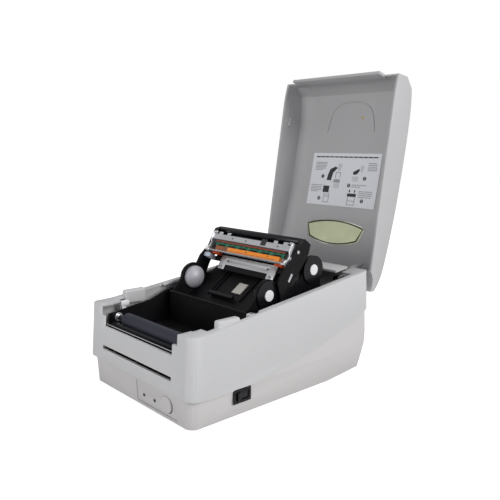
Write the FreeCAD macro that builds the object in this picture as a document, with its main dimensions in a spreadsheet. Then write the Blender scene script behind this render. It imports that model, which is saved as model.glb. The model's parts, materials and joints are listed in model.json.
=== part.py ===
"""Desktop label printer with a lifting lid, a swinging print-head carriage and ribbon hubs.

Frame: X across the printer (right is +X), Y from the front face (-Y) to the back, Z up.
The origin is the centre of the footprint, on the surface that the feet stand on.
The rest pose is the service pose: lid open, print-head carriage raised.
"""
import FreeCAD, Part
import math
import os
import re
import Sketcher

VECTOR = FreeCAD.Vector
X_AXIS = VECTOR(1, 0, 0)
Y_AXIS = VECTOR(0, 1, 0)
Z_AXIS = VECTOR(0, 0, 1)

# ---------------------------------------------------------------- driving dimensions (mm, degrees)
SIZES = {
    # cases
    "case_width": 198.0,
    "case_depth": 285.0,
    "case_draft": 3.0,
    "case_tail": 4.2,
    "case_round": 12.0,
    "case_wall": 3.0,
    "rail_width": 9.0,
    "rim_front": 96.8,
    "rim_slope": 7.2,
    "rim_bend": -117.0,
    "crease_front": 34.4,
    "crease_low": 31.6,
    "crease_mid": 40.0,
    "crease_rear": 87.5,
    "base_step": 3.3,
    "base_taper": 2.6,
    "base_floor": 1.6,
    "base_tail": 5.0,
    "foot_radius": 9.0,
    "foot_inset_x": 72.0,
    "foot_front": -112.0,
    "foot_rear": 98.0,
    # front opening
    "notch_half": 66.5,
    "notch_floor": 73.4,
    "shoulder_half": 74.5,
    "shoulder_top": 85.0,
    "post_depth": 27.0,
    "exit_slot_low": 47.0,
    "exit_slot_high": 51.4,
    "catch_front": -101.0,
    "catch_rear": -72.0,
    "catch_rise": 4.5,
    # lid
    "lid_open": 105.5,
    "hinge_y": 127.5,
    "hinge_z": 112.6,
    "hinge_pin": 3.0,
    "lid_depth": 42.0,
    "lid_crown": 5.0,
    "lid_flat_half": 70.0,
    "lid_wall": 2.8,
    "lid_gap": 0.8,
    "lid_swing": 22.9,
    "ear_inner": 62.0,
    "ear_outer": 70.0,
    "window_half": 52.7,
    "tongue_half": 74.0,
    # main frame
    "frame_half": 79.5,
    "frame_wall": 2.5,
    "frame_front": -127.0,
    "frame_rear": 114.0,
    "frame_floor": 12.0,
    "partition_y": -45.2,
    "partition_top": 100.0,
    "platen_y": -115.0,
    "platen_z": 78.0,
    "platen_radius": 8.5,
    "platen_half": 56.0,
    "shaft_radius": 3.0,
    "running_gap": 0.06,
    "clearance": 0.3,
    # ribbon hubs
    "plate_inner": 66.0,
    "plate_outer": 69.0,
    "rewind_y": -11.5,
    "rewind_z": 115.2,
    "supply_y": 62.7,
    "supply_z": 135.9,
    "hub_disc": 17.0,
    "hub_dome": 14.0,
    "hub_tip": 54.0,
    "core_radius": 11.5,
    # print-head carriage, in its own frame: x across, y up the head's face, z out of the face
    "pivot_y": -2.0,
    "pivot_z": 37.4,
    "carriage_tilt": 58.5,
    "arm_inner": 73.0,
    "arm_thick": 3.0,
    "bar_half": 72.7,
    "head_half": 61.0,
    "head_pin_p": 122.0,
    "head_pin_q": 37.0,
    "stud_radius": 2.0,
    # drive
    "gear_module": 1.0,
    "gear_width": 4.0,
    "gear_play": 0.15,
    "platen_teeth": 24.0,
    "idler_teeth": 30.0,
    "motor_teeth": 10.0,
    "motor_size": 35.0,
    "motor_length": 28.0,
    # controls
    "lever_y": -105.0,
    "lever_z": 74.0,
    "switch_y": -72.7,
    "switch_z": 23.4,
    "switch_length": 24.0,
    "switch_height": 15.0,
    "rocker_tilt": 9.0,
    "button_x": 54.0,
    "button_z": 17.5,
    "button_radius": 9.0,
    "led_green_x": 12.4,
    "led_dark_x": 32.2,
    "led_z": 14.8,
    # media bay
    "media_y": 68.0,
    "media_z": 60.0,
    "guide_rest": 54.0,
    "rack_start": -4.0,
    "rack_line": 6.5,
    "guide_radius": 44.0,
}

doc = FreeCAD.newDocument("label_printer")
sheet = doc.addObject("Spreadsheet::Sheet", "sizes")
for row, (alias, value) in enumerate(SIZES.items(), start=1):
    sheet.set("A%d" % row, alias)
    sheet.set("B%d" % row, str(value))
    sheet.setAlias("B%d" % row, alias)
doc.recompute()

NODES = []


def size(alias):
    """The number that the sheet holds under this alias."""
    return float(sheet.get(alias))


def formula(text):
    """Turn a plain formula of size names into an expression on the sheet."""
    return re.sub(r"[a-z_]+[a-z0-9_]*", lambda m: sheet.Name + "." + m.group() if m.group() in SIZES else m.group(),
                  str(text))


def bind(item, **properties):
    """Bind properties of an object to formulas; a double underscore stands for a dot."""
    for name, text in properties.items():
        item.setExpression(name.replace("__", "."), formula(text))
    return item


def node(item, label, place=None):
    """Name a finished sub-part, place it and remember it for the export."""
    item.Label = label
    if place is not None:
        item.Placement = place
    NODES.append(item)
    return item


def carriage_place():
    """Where the raised print-head carriage stands: its pivot, tilted back about X."""
    return FreeCAD.Placement(VECTOR(0, size("pivot_y"), size("pivot_z")),
                             FreeCAD.Rotation(X_AXIS, size("carriage_tilt")))


def lid_place():
    """The lid is drawn closed and stands open, turned back about its hinge."""
    centre = VECTOR(0, size("hinge_y"), size("hinge_z"))
    return FreeCAD.Placement(VECTOR(0, 0, 0), FreeCAD.Rotation(X_AXIS, -size("lid_open")), centre)


# ---------------------------------------------------------------- makers: primitives and booleans
def block(name, x, y, z):
    """A Part box between pairs of formulas along X, Y and Z."""
    solid = doc.addObject("Part::Box", name)
    for side, axis, (low, high) in zip(("Length", "Width", "Height"), "xyz", (x, y, z)):
        solid.setExpression(side, formula("(%s) - (%s)" % (high, low)))
        solid.setExpression("Placement.Base." + axis, formula(low))
    return solid


def spindle(name, radius, x, y, z, axis=X_AXIS):
    """A Part cylinder along an axis; the pair of formulas gives its two ends on that axis."""
    solid = doc.addObject("Part::Cylinder", name)
    solid.Placement = FreeCAD.Placement(VECTOR(0, 0, 0), FreeCAD.Rotation(Z_AXIS, axis))
    places = []
    for text in (x, y, z):
        if isinstance(text, tuple):
            solid.setExpression("Height", formula("(%s) - (%s)" % (text[1], text[0])))
            text = text[0]
        places.append(text)
    solid.setExpression("Radius", formula(radius))
    for letter, text in zip("xyz", places):
        solid.setExpression("Placement.Base." + letter, formula(text))
    return solid


def fuse(name, shapes):
    """Join Part objects into one."""
    joined = doc.addObject("Part::MultiFuse", name)
    joined.Shapes = shapes
    joined.Refine = True
    return joined


def cut(name, base, tools):
    """Take the tools away from the base."""
    tool = tools[0] if len(tools) == 1 else fuse(name + "_tools", tools)
    result = doc.addObject("Part::Cut", name)
    result.Base = base
    result.Tool = tool
    result.Refine = True
    return result


def group(name, shapes):
    """Separate solids that share one node."""
    compound = doc.addObject("Part::Compound", name)
    compound.Links = shapes
    return compound


def feature(name, shape, label=None, place=None):
    """A Part::Feature for a shape that Part's own functions made."""
    item = doc.addObject("Part::Feature", name)
    item.Shape = shape
    return node(item, label or name, place)


# ---------------------------------------------------------------- makers: sketches and PartDesign
def new_body(name, place=None):
    """A PartDesign body for one sub-part."""
    return node(doc.addObject("PartDesign::Body", name), name, place)


def sketch_on(body, name, role, height="0"):
    """A sketch on one of the body's own origin planes, lifted along the plane's normal."""
    plane = [item for item in body.Origin.OriginFeatures if item.Role == role][0]
    drawing = body.newObject("Sketcher::SketchObject", body.Name + "_" + name)
    drawing.AttachmentSupport = [(plane, "")]
    drawing.MapMode = "FlatFace"
    drawing.setExpression("AttachmentOffset.Base.z", formula(height))
    return drawing


def place_point(drawing, geometry, end, texts):
    """Fix one point of a sketch at a pair of formulas."""
    for kind, text in zip(("DistanceX", "DistanceY"), texts):
        value = float(drawing.evalExpression(formula(text)))
        number = drawing.addConstraint(Sketcher.Constraint(kind, -1, 1, geometry, end, value))
        drawing.setExpression("Constraints[%d]" % number, formula(text))


def outline(drawing, points):
    """A closed polygon whose corners are pairs of formulas."""
    spots = [VECTOR(*[float(drawing.evalExpression(formula(text))) for text in pair], 0) for pair in points]
    first = drawing.GeometryCount
    count = len(points)
    for index in range(count):
        drawing.addGeometry(Part.LineSegment(spots[index], spots[(index + 1) % count]))
    for index in range(count):
        following = first + (index + 1) % count
        drawing.addConstraint(Sketcher.Constraint("Coincident", first + index, 2, following, 1))
    for index, pair in enumerate(points):
        place_point(drawing, first + index, 1, pair)
    return drawing


def circle(drawing, x, y, radius):
    """A circle whose centre and radius are formulas."""
    value = float(drawing.evalExpression(formula(radius)))
    number = drawing.addGeometry(Part.Circle(VECTOR(0, 0, 0), Z_AXIS, value))
    place_point(drawing, number, 3, (x, y))
    constraint = drawing.addConstraint(Sketcher.Constraint("Radius", number, value))
    drawing.setExpression("Constraints[%d]" % constraint, formula(radius))
    return drawing


def rectangle(drawing, x, y):
    """A rectangle between two pairs of formulas."""
    return outline(drawing, [(x[0], y[0]), (x[1], y[0]), (x[1], y[1]), (x[0], y[1])])


def pad(body, drawing, length, symmetric=False, reverse=False):
    """Add material from a sketch."""
    added = body.newObject("PartDesign::Pad", drawing.Name + "_pad")
    added.Profile = drawing
    added.SideType = "Symmetric" if symmetric else "One side"
    added.Reversed = reverse
    added.setExpression("Length", formula(length))
    doc.recompute()
    return added


def pocket(body, drawing, length, symmetric=False, reverse=False):
    """Take material away from a sketch, and make sure that it took some."""
    before = body.Tip.Shape.Volume
    taken = body.newObject("PartDesign::Pocket", drawing.Name + "_pocket")
    taken.Profile = drawing
    taken.SideType = "Symmetric" if symmetric else "One side"
    taken.Reversed = reverse
    taken.setExpression("Length", formula(length))
    doc.recompute()
    if taken.Shape.Volume >= before:
        raise RuntimeError(drawing.Name + " cut nothing")
    return taken


def soften(body, radius, chosen):
    """Round the edges of the body's tip that the test picks."""
    names = ["Edge%d" % (index + 1) for index, edge in enumerate(body.Tip.Shape.Edges) if chosen(edge)]
    rounded = body.newObject("PartDesign::Fillet", "round_" + body.Name)
    rounded.Base = (body.Tip, names)
    rounded.setExpression("Radius", formula(radius))
    doc.recompute()
    return rounded


def along(edge, axis):
    """Whether a straight edge runs along an axis."""
    if edge.Curve.TypeId != "Part::GeomLine":
        return False
    return abs(edge.Curve.Direction.dot(axis)) > 0.999


# ---------------------------------------------------------------- outlines that the cases share
def rim_height(y):
    """Height of the case rim: level at the front, then rising to the back."""
    rise = max(0.0, y - size("rim_bend")) * math.tan(math.radians(size("rim_slope")))
    return size("rim_front") + rise


def curve_through(points):
    """A smooth edge in the YZ plane through (y, z) points."""
    spline = Part.BSplineCurve()
    spline.interpolate([VECTOR(0, y, z) for y, z in points])
    return spline.toShape()


def straight(start, end):
    """A straight edge in the YZ plane."""
    return Part.LineSegment(VECTOR(0, *start), VECTOR(0, *end)).toShape()


def rim_edge(front, rear, lift):
    """The rim's line between two depths, raised by a lift, as one smooth edge."""
    bend = size("rim_bend")
    stations = [front, 0.5 * (front + bend) + 4, bend + 8, bend + 26, 0.5 * (bend + rear), rear]
    return curve_through([(y, rim_height(y) + lift) for y in stations])


def crease_edge(reach):
    """The S-shaped split between the upper case and the base."""
    low, middle, rear = size("crease_low"), size("crease_mid"), size("crease_rear")
    points = [(-reach, size("crease_front") + 0.5), (-0.86 * reach, low + 0.7), (-0.60 * reach, low + 0.2),
              (-0.40 * reach, 0.78 * low + 0.22 * middle), (-0.07 * reach, middle),
              (0.35 * reach, 0.72 * middle + 0.28 * rear), (0.80 * reach, 0.29 * middle + 0.71 * rear),
              (reach, rear)]
    return curve_through(points)


def prism(edges, half_width):
    """A solid from a closed YZ outline, the same width each side of the centre."""
    face = Part.Face(Part.Wire(Part.__sortEdges__(edges)))
    solid = face.extrude(VECTOR(2 * half_width, 0, 0))
    solid.translate(VECTOR(-half_width, 0, 0))
    return solid


def rounded_rectangle(half_x, front, rear, radius, z):
    """A wire with round corners at a height, between a front and a rear depth."""
    corners = []
    for sign_x, end_y, start in ((1, rear - radius, 0), (-1, rear - radius, 90),
                                 (-1, front + radius, 180), (1, front + radius, 270)):
        centre = VECTOR(sign_x * (half_x - radius), end_y, z)
        corners.append(Part.Circle(centre, Z_AXIS, radius).toShape(math.radians(start), math.radians(start + 90)))
    edges = []
    for index, arc in enumerate(corners):
        following = corners[(index + 1) % 4]
        edges.append(arc)
        edges.append(Part.LineSegment(arc.Vertexes[-1].Point, following.Vertexes[0].Point).toShape())
    return Part.Wire(edges)


def drafted_block(half_x, front, rear, radius, low, high, slope):
    """A block with round corners whose sides lean in by the slope as they rise."""
    shrink = slope * (high - low)
    bottom = rounded_rectangle(half_x, front, rear, radius, low)
    top = rounded_rectangle(half_x - shrink, front + shrink, rear - shrink, max(radius - shrink, 1.0), high)
    return Part.makeLoft([bottom, top], True, True)


def box(x, y, z):
    """A plain box between pairs of numbers."""
    solid = Part.makeBox(x[1] - x[0], y[1] - y[0], z[1] - z[0])
    solid.translate(VECTOR(x[0], y[0], z[0]))
    return solid


# ---------------------------------------------------------------- cases
def upper_case():
    """The light shell above the crease: drafted walls, a wide rail round the bay, posts and catches."""
    wall = size("case_wall")
    rail = size("rail_width")
    half_x, half_y = size("case_width") / 2, size("case_depth") / 2
    slope = math.tan(math.radians(size("case_draft")))
    split = size("crease_front")
    low, high = split - 8, size("rim_front") + 60
    radius = size("case_round")
    grow = slope * (split - low)
    rear_y = half_y + size("case_tail")
    outer = drafted_block(half_x + grow, -half_y - grow, rear_y + grow, radius, low, high, slope)
    inner = drafted_block(half_x + grow - wall, wall - half_y - grow, rear_y + grow - wall, radius - wall,
                          low, high, slope)
    reach = half_y + 10
    band = prism([crease_edge(reach), straight((reach, size("crease_rear")), (reach, rim_height(reach))),
                  rim_edge(-reach, reach, 0),
                  straight((-reach, size("crease_front") + 0.5), (-reach, size("rim_front")))], half_x + 10)
    hollow = prism([straight((-reach, low - 2), (reach, low - 2)),
                    straight((reach, low - 2), (reach, rim_height(reach) - wall)),
                    rim_edge(-reach, reach, -wall),
                    straight((-reach, low - 2), (-reach, size("rim_front") - wall))], half_x + 10)
    rim_half = half_x - slope * (size("rim_front") - split)
    bay_half = rim_half - rail
    front = -(half_y - slope * (size("rim_front") - split))
    bay_front, bay_rear = front + 2.5 * wall, size("hinge_y") - 9.5
    post_rear = front + size("post_depth")
    shell = outer.common(band).cut(inner.common(hollow))
    shell = shell.cut(box((-bay_half, bay_half), (post_rear, bay_rear), (split, high)))
    shell = shell.cut(box((-size("shoulder_half"), size("shoulder_half")), (bay_front, bay_rear), (split, high)))
    relief = size("arm_inner") + size("arm_thick") + 1
    shell = shell.cut(box((-relief, relief), (post_rear - 10.5, bay_rear), (split, high)))
    shoulder = size("shoulder_half")
    notch = size("notch_half")
    shell = shell.cut(box((-shoulder, shoulder), (-reach, bay_front + 1), (size("shoulder_top"), high)))
    shell = shell.cut(box((-notch, notch), (-reach, bay_front + 1), (size("notch_floor"), high)))
    slot = box((-notch, notch), (-reach, front + 4 * wall), (size("exit_slot_low"), size("exit_slot_high")))
    shell = shell.cut(slot)
    for side in (-1, 1):
        catch = box((rim_half - rail - 4, rim_half - 4), (size("catch_front"), size("catch_rear")),
                    (rim_height(size("catch_front")) - 8, rim_height(size("catch_rear")) + size("catch_rise") - 1))
        catch = catch.makeFillet(2.5, [edge for edge in catch.Edges if edge.BoundBox.ZMax > catch.BoundBox.ZMax - 1])
        recess = box((bay_half - 1, bay_half + 4), (size("catch_rear") + 1, size("partition_y") + 3),
                     (rim_height(size("catch_rear")) - 5, high))
        if side < 0:
            catch = catch.mirror(VECTOR(0, 0, 0), X_AXIS)
            recess = recess.mirror(VECTOR(0, 0, 0), X_AXIS)
        shell = shell.fuse(catch).cut(recess)
        ear = sorted((side * (size("ear_inner") - 1), side * (size("ear_outer") + 1)))
        shell = shell.cut(box(ear, (size("hinge_y") - 20, reach + 5), (size("hinge_z") - 13, high)))
    corner = prism([straight((half_y - 12, rim_height(half_y) + 8), (reach + 8, rim_height(half_y) + 8)),
                    straight((reach + 8, rim_height(half_y) + 8), (reach + 8, size("hinge_z"))),
                    straight((reach + 8, size("hinge_z")),
                             (size("hinge_y") + size("lid_swing") - 1.2, size("hinge_z"))),
                    Part.Arc(VECTOR(0, size("hinge_y") + size("lid_swing") - 1.2, size("hinge_z")),
                             VECTOR(0, size("hinge_y") + (size("lid_swing") - 1.2) * math.cos(math.radians(45)),
                                    size("hinge_z") + (size("lid_swing") - 1.2) * math.sin(math.radians(45))),
                             VECTOR(0, size("hinge_y"), size("hinge_z") + size("lid_swing") - 1.2)).toShape(),
                    straight((size("hinge_y"), size("hinge_z") + size("lid_swing") - 1.2),
                             (half_y - 12, rim_height(half_y) + 8))], half_x + 10)
    shell = shell.cut(corner)
    switch = box((half_x - 12, half_x + 12), (size("switch_y") - 14, size("switch_y") + 14), (0, split - 1.5))
    return feature("upper_case", shell.cut(switch).removeSplitter())


def lower_base():
    """The base tray below the crease: stepped in from the upper case and tapering to the floor."""
    wall = size("case_wall")
    half_x = size("case_width") / 2 - size("base_step")
    half_y = size("case_depth") / 2 - size("base_step")
    taper = size("base_taper") / size("crease_front")
    radius = size("case_round") - 2
    top = size("crease_rear") + 12
    bottom_x, bottom_y = half_x - size("base_taper"), half_y - size("base_taper")
    split = size("crease_front")
    draft = math.tan(math.radians(size("case_draft")))
    rear_y = half_y + size("case_tail")

    def form(skin):
        lower = drafted_block(bottom_x - skin, skin - bottom_y, rear_y - skin, radius - skin, 0, split, -taper)
        upper = drafted_block(half_x - skin, skin - half_y, rear_y + size("base_taper") - skin, radius - skin,
                              split, top, draft)
        return lower.fuse(upper)

    outer, inner = form(0), form(wall)
    reach, back = size("case_depth") / 2 + 10, half_y + 10
    seam = 0.4
    floor, tail = size("base_floor"), size("base_tail")
    crease = crease_edge(reach)
    crease.translate(VECTOR(0, 0, -seam))
    front_top, rear_top = size("crease_front") + 0.5 - seam, size("crease_rear") - seam
    heel = rear_y - 16
    under = [(-reach, floor), (0.5 * half_y, floor), (heel, floor + tail), (heel + 9, split), (back, rear_top - 0.5),
             (reach, rear_top)]
    edges = [straight(under[i], under[i + 1]) for i in range(5)]
    edges += [crease, straight((-reach, front_top), under[0])]
    tray = outer.common(prism(edges, half_x + 10))
    inside = [(-reach, floor + wall), (0.5 * half_y, floor + wall), (heel - wall, floor + tail + wall),
              (heel + 9 - wall, split), (back - wall, rear_top), (back - wall, top), (-reach, top)]
    hollow = prism([straight(inside[i], inside[(i + 1) % 7]) for i in range(7)], half_x + 10)
    tray = tray.cut(inner.common(hollow))
    hole_y, hole_z = size("switch_length") / 2 - 1.5, size("switch_height") / 2 - 1.5
    tray = tray.cut(box((half_x - 14, half_x + 14), (size("switch_y") - hole_y, size("switch_y") + hole_y),
                        (size("switch_z") - hole_z, size("switch_z") + hole_z)))
    button = Part.makeCylinder(size("button_radius") + size("clearance"), 30,
                               VECTOR(size("button_x"), -half_y - 10, size("button_z")), Y_AXIS)
    crescent = Part.makeCylinder(size("button_radius"), 30,
                                 VECTOR(size("button_x") + 1.5, -half_y - 10, size("button_z")), Y_AXIS)
    tray = tray.cut(button).cut(crescent)
    skin = outer.cut(form(0.7))
    for x, z in (((-1.5, -0.7), (5.0, 29.0)), ((-1.5, 71.0), (4.9, 5.7))):
        tray = tray.cut(skin.common(box(x, (-reach, -half_y + 8), z)))
    for x in (size("led_green_x"), size("led_dark_x")):
        tray = tray.cut(Part.makeCylinder(1.9, 30, VECTOR(x, -half_y - 10, size("led_z")), Y_AXIS))
    ports = box((-62, 30), (half_y - 14, half_y + 12), (18, 44))
    inlet = box((44, 60), (half_y - 14, half_y + 12), (20, 34))
    return feature("lower_base", tray.cut(ports).cut(inlet).removeSplitter())


# ---------------------------------------------------------------- lid
def lid_section(x, crown, inset):
    """One YZ section of the closed lid at a distance x from the centre; inset is the wall."""
    half_y = size("case_depth") / 2
    front = -(half_y - 4.1) + inset
    gap = size("lid_gap")
    depth = size("lid_depth")
    swing = size("lid_swing") + inset
    pivot_y, pivot_z = size("hinge_y"), size("hinge_z")
    start = math.radians(141 if inset == 0 else 139)
    finish = math.radians(74 if inset == 0 else 79)
    middle = 0.5 * (start + finish)

    def on_arc(angle):
        return (pivot_y + swing * math.cos(angle), pivot_z + swing * math.sin(angle))

    def roof(y, share):
        return (y, rim_height(y) + gap + depth * share + crown - inset)

    arc_start, arc_end = on_arc(start), on_arc(finish)
    low = rim_height(front) + gap if inset == 0 else rim_height(front) - 6
    rear = (arc_end[0] - 1.5 - 0.3 * inset, arc_end[1] + 6.5 - inset + crown * 0.4)
    tops = [rear, roof(118, 0.50), roof(88, 0.68), roof(40, 0.83), roof(-22, 0.93), roof(-82, 0.96), roof(-118, 0.905)]
    brow = roof(-131, 0.80)
    nose = (front - 3.0, rim_height(front) + gap + 19 - 0.5 * inset)
    bottom = (front, low)
    if inset == 0:
        under = [rim_edge(front, arc_start[0], gap)]
        join = (arc_start[0], rim_height(arc_start[0]) + gap)
    else:
        under = [straight(bottom, (arc_start[0], low))]
        join = (arc_start[0], low)
    curved = Part.Arc(VECTOR(0, *arc_start), VECTOR(0, *on_arc(middle)), VECTOR(0, *arc_end)).toShape()
    edges = under + [straight(join, arc_start), curved, straight(arc_end, rear),
                     curve_through(tops + [brow]), straight(brow, nose), straight(nose, bottom)]
    wire = Part.Wire(edges)
    wire.translate(VECTOR(x, 0, 0))
    return wire


def lid_solid(inset):
    """The lid's outer form, or the form of its hollow when the inset is its wall."""
    edge = size("case_width") / 2 - 4.0 - inset
    flat = size("lid_flat_half") - 0.4 * inset
    crown = size("lid_crown")
    sections = [lid_section(-edge, 0, inset), lid_section(-flat, crown, inset),
                lid_section(flat, crown, inset), lid_section(edge, 0, inset)]
    return Part.makeLoft(sections, True, True)


def window_column(grow):
    """An upright column with the window's outline: a shallow arch at the front, a belly at the back."""
    half = size("window_half") - 1.0 + grow
    front, back = 44.7 - grow, 80.0 + grow
    low, top = 120, 200
    arch_left, arch_right = VECTOR(-half, front + 7.3, low), VECTOR(half, front + 7.3, low)
    belly_left, belly_right = VECTOR(-half + 7, back - 7.5, low), VECTOR(half - 7, back - 7.5, low)
    arch = Part.Arc(arch_left, VECTOR(0, front, low), arch_right).toShape()
    belly = Part.Arc(belly_right, VECTOR(0, back, low), belly_left).toShape()
    wire = Part.Wire([arch, straight_3d(arch_right, belly_right), belly, straight_3d(belly_left, arch_left)])
    column = Part.Face(wire).extrude(VECTOR(0, 0, top - low))
    return column.makeFillet(5.0 + grow, [edge for edge in column.Edges if along(edge, Z_AXIS)])


def straight_3d(start, end):
    """A straight edge between two points."""
    return Part.LineSegment(start, end).toShape()


def lid_shell():
    """The open-bottomed lid with its tongue, hinge ears and window opening."""
    shell = lid_solid(0).cut(lid_solid(size("lid_wall")))
    shell = shell.cut(window_column(0))
    front = -(size("case_depth") / 2 - 4.1)
    wall = size("case_wall")
    gap = size("clearance")
    tongue = size("tongue_half") - gap
    bite = size("rim_front") - 10.5
    lip = box((-tongue, tongue), (front - 0.6, front + wall), (bite, size("rim_front") + 8))
    shell = shell.fuse(lip)
    pivot = VECTOR(0, size("hinge_y"), size("hinge_z"))
    for side in (-1, 1):
        inner, outer = size("ear_inner"), size("ear_outer")
        start = inner if side > 0 else -outer
        boss = Part.makeCylinder(7.5, outer - inner, VECTOR(start, pivot.y, pivot.z), X_AXIS)
        blade = prism([straight((pivot.y - 7.4, pivot.z), (pivot.y + 4, pivot.z + 6)),
                       straight((pivot.y + 4, pivot.z + 6), (pivot.y - 4, 137)),
                       straight((pivot.y - 4, 137), (pivot.y - 28, 142)),
                       straight((pivot.y - 28, 142), (pivot.y - 22, 128)),
                       straight((pivot.y - 22, 128), (pivot.y - 7.4, pivot.z))], (outer - inner) / 2)
        blade.translate(VECTOR(start + (outer - inner) / 2, 0, 0))
        shell = shell.fuse(boss).fuse(blade)
    bore = Part.makeCylinder(size("hinge_pin") + size("running_gap"), 160, VECTOR(-80, pivot.y, pivot.z), X_AXIS)
    for hook in lid_hooks():
        shell = shell.fuse(hook)
    return feature("lid_shell", shell.cut(bore).removeSplitter(), place=lid_place())


def lid_roof_strip(column, thickness, drop, inset=0):
    """A sheet that follows the lid's roof inside a column, at a drop below its outer or inner face."""
    upper = lid_solid(inset)
    lower = lid_solid(inset)
    upper.translate(VECTOR(0, 0, -drop))
    lower.translate(VECTOR(0, 0, -drop - thickness))
    return upper.cut(lower).common(column)


def lid_window():
    """The tinted window, seated in the lid's opening."""
    sheet_part = lid_roof_strip(window_column(-size("clearance")), 2.2, 0.3)
    return feature("lid_window", sheet_part, place=lid_place())


def instruction_sheet():
    """A thin card stuck inside the roof of the lid."""
    card = lid_roof_strip(box((-60, 60), (-50, 25), (120, 200)), 0.4, 0.3, size("lid_wall"))
    return feature("instruction_sheet", card, place=lid_place())


def lid_hooks():
    """Two small hooks inside the lid's side walls, over the case's catches."""
    hooks = []
    for side in (-1, 1):
        edge = size("case_width") / 2 - 4.0 - size("lid_wall")
        far, near = edge + 1.0, edge - 3.2
        x = (near, far) if side > 0 else (-far, -near)
        middle = 0.5 * (size("catch_front") + size("catch_rear"))
        hooks.append(box(x, (middle - 6, middle + 6), (rim_height(middle) + 12, rim_height(middle) + 16)))
    return hooks


# ---------------------------------------------------------------- hinge and feet
def hinge_parts():
    """A block with a slot for each lid ear, and the pin across it."""
    blocks, pins = [], []
    for side, word in ((-1, "left"), (1, "right")):
        x = ("ear_inner - 5", "ear_outer + 5") if side > 0 else ("-(ear_outer + 5)", "-(ear_inner - 5)")
        slot = ("ear_inner - 1", "ear_outer + 1") if side > 0 else ("-(ear_outer + 1)", "-(ear_inner - 1)")
        body = block("hinge_mass_" + word, x, ("hinge_y - 9", "hinge_y + 14.5 - case_wall"), ("hinge_z - 15", "hinge_z + 6"))
        gap = block("hinge_gap_" + word, slot, ("hinge_y - 10", "hinge_y + 13"), ("hinge_z - 10", "hinge_z + 8"))
        bore = spindle("hinge_bore_" + word, "hinge_pin", x, "hinge_y", "hinge_z")
        blocks.append(cut("hinge_block_" + word, body, [gap, bore]))
        pins.append(spindle("hinge_pin_" + word, "hinge_pin", x, "hinge_y", "hinge_z"))
    node(group("hinge_blocks", blocks), "hinge_blocks")
    node(group("hinge_pins", pins), "hinge_pins")


def feet():
    """Four rubber feet under the base."""
    pads = []
    for x in ("foot_inset_x", "-foot_inset_x"):
        pads.append(spindle("foot", "foot_radius", x, "foot_front", ("0", "base_floor"), Z_AXIS))
        pads.append(spindle("foot", "foot_radius", x, "foot_rear", ("0", "base_floor + 1.5"), Z_AXIS))
    return node(group("rubber_feet", pads), "rubber_feet")


# ---------------------------------------------------------------- main frame
def main_frame():
    """The black tub that carries everything: two side walls on a floor."""
    body = new_body("main_frame")
    side = outline(sketch_on(body, "side", "YZ_Plane"), [
        ("frame_front", "frame_floor"), ("frame_rear", "frame_floor"), ("frame_rear", "rim_front + 26"),
        ("partition_y", "rim_front + 4"), ("partition_y - 22", "rim_front - 5"), ("frame_front", "rim_front - 14")])
    pad(body, side, "2 * frame_half", symmetric=True)
    hollow = outline(sketch_on(body, "hollow", "YZ_Plane"), [
        ("frame_front - 2", "frame_floor + frame_wall"), ("frame_rear + 2", "frame_floor + frame_wall"),
        ("frame_rear + 2", "rim_front + 40"), ("frame_front - 2", "rim_front + 40")])
    pocket(body, hollow, "2 * (frame_half - frame_wall)", symmetric=True)
    holes = sketch_on(body, "holes", "YZ_Plane")
    circle(holes, "platen_y", "platen_z", "shaft_radius + 2")
    circle(holes, "pivot_y", "pivot_z", "hinge_pin")
    pocket(body, holes, "2 * frame_half + 4", symmetric=True)
    drive = sketch_on(body, "drive", "YZ_Plane", "frame_half - frame_wall - 1")
    idler, motor_spot = drive_places()[1][1:]
    circle(drive, idler[0], idler[1], "stud_radius")
    circle(drive, motor_spot[0], motor_spot[1], "4.5")
    pocket(body, drive, "frame_wall + 2", reverse=True)
    lever = circle(sketch_on(body, "lever", "YZ_Plane", "-(frame_half + 1)"), "lever_y", "lever_z", "stud_radius")
    pocket(body, lever, "frame_wall + 2", reverse=True)
    legs = sketch_on(body, "legs", "XY_Plane", "frame_floor")
    for x in (("-72", "-64"), ("64", "72")):
        for y in (("-120", "-110"), ("50", "60")):
            rectangle(legs, x, y)
    pad(body, legs, "frame_floor - base_floor - case_wall", reverse=True)
    return body


def partition():
    """The upright wall in front of the label bay, with a rolled edge that the labels slide over."""
    body = new_body("label_partition")
    wall = outline(sketch_on(body, "wall", "YZ_Plane"), [
        ("partition_y", "frame_floor + frame_wall"), ("partition_y + 2.2", "frame_floor + frame_wall"),
        ("partition_y + 2.2", "partition_top"), ("partition_y", "partition_top")])
    pad(body, wall, "2 * (plate_outer + 1)", symmetric=True)
    lip = circle(sketch_on(body, "lip", "YZ_Plane"), "partition_y + 1.1", "partition_top", "1.6")
    pad(body, lip, "2 * (plate_outer + 1)", symmetric=True)
    return body


def front_pan():
    """The black floor of the front bay, under the label path."""
    body = new_body("front_pan")
    shape = outline(sketch_on(body, "shape", "YZ_Plane"), [
        ("frame_front + 1", "62"), ("partition_y - clearance", "62"), ("partition_y - clearance", "64"),
        ("platen_y + 16", "64"), ("platen_y + 12", "66.5"), ("frame_front + 1", "66.5")])
    pad(body, shape, "2 * (arm_inner - 2)", symmetric=True)
    legs = rectangle(sketch_on(body, "legs", "XY_Plane", "62"), ("-(arm_inner - 2)", "-(arm_inner - 5)"),
                     ("frame_front + 1", "frame_front + 9"))
    pad(body, legs, "62 - frame_floor - frame_wall", reverse=True)
    legs = rectangle(sketch_on(body, "leg", "XY_Plane", "62"), ("arm_inner - 5", "arm_inner - 2"),
                     ("frame_front + 1", "frame_front + 9"))
    pad(body, legs, "62 - frame_floor - frame_wall", reverse=True)
    return body


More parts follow.
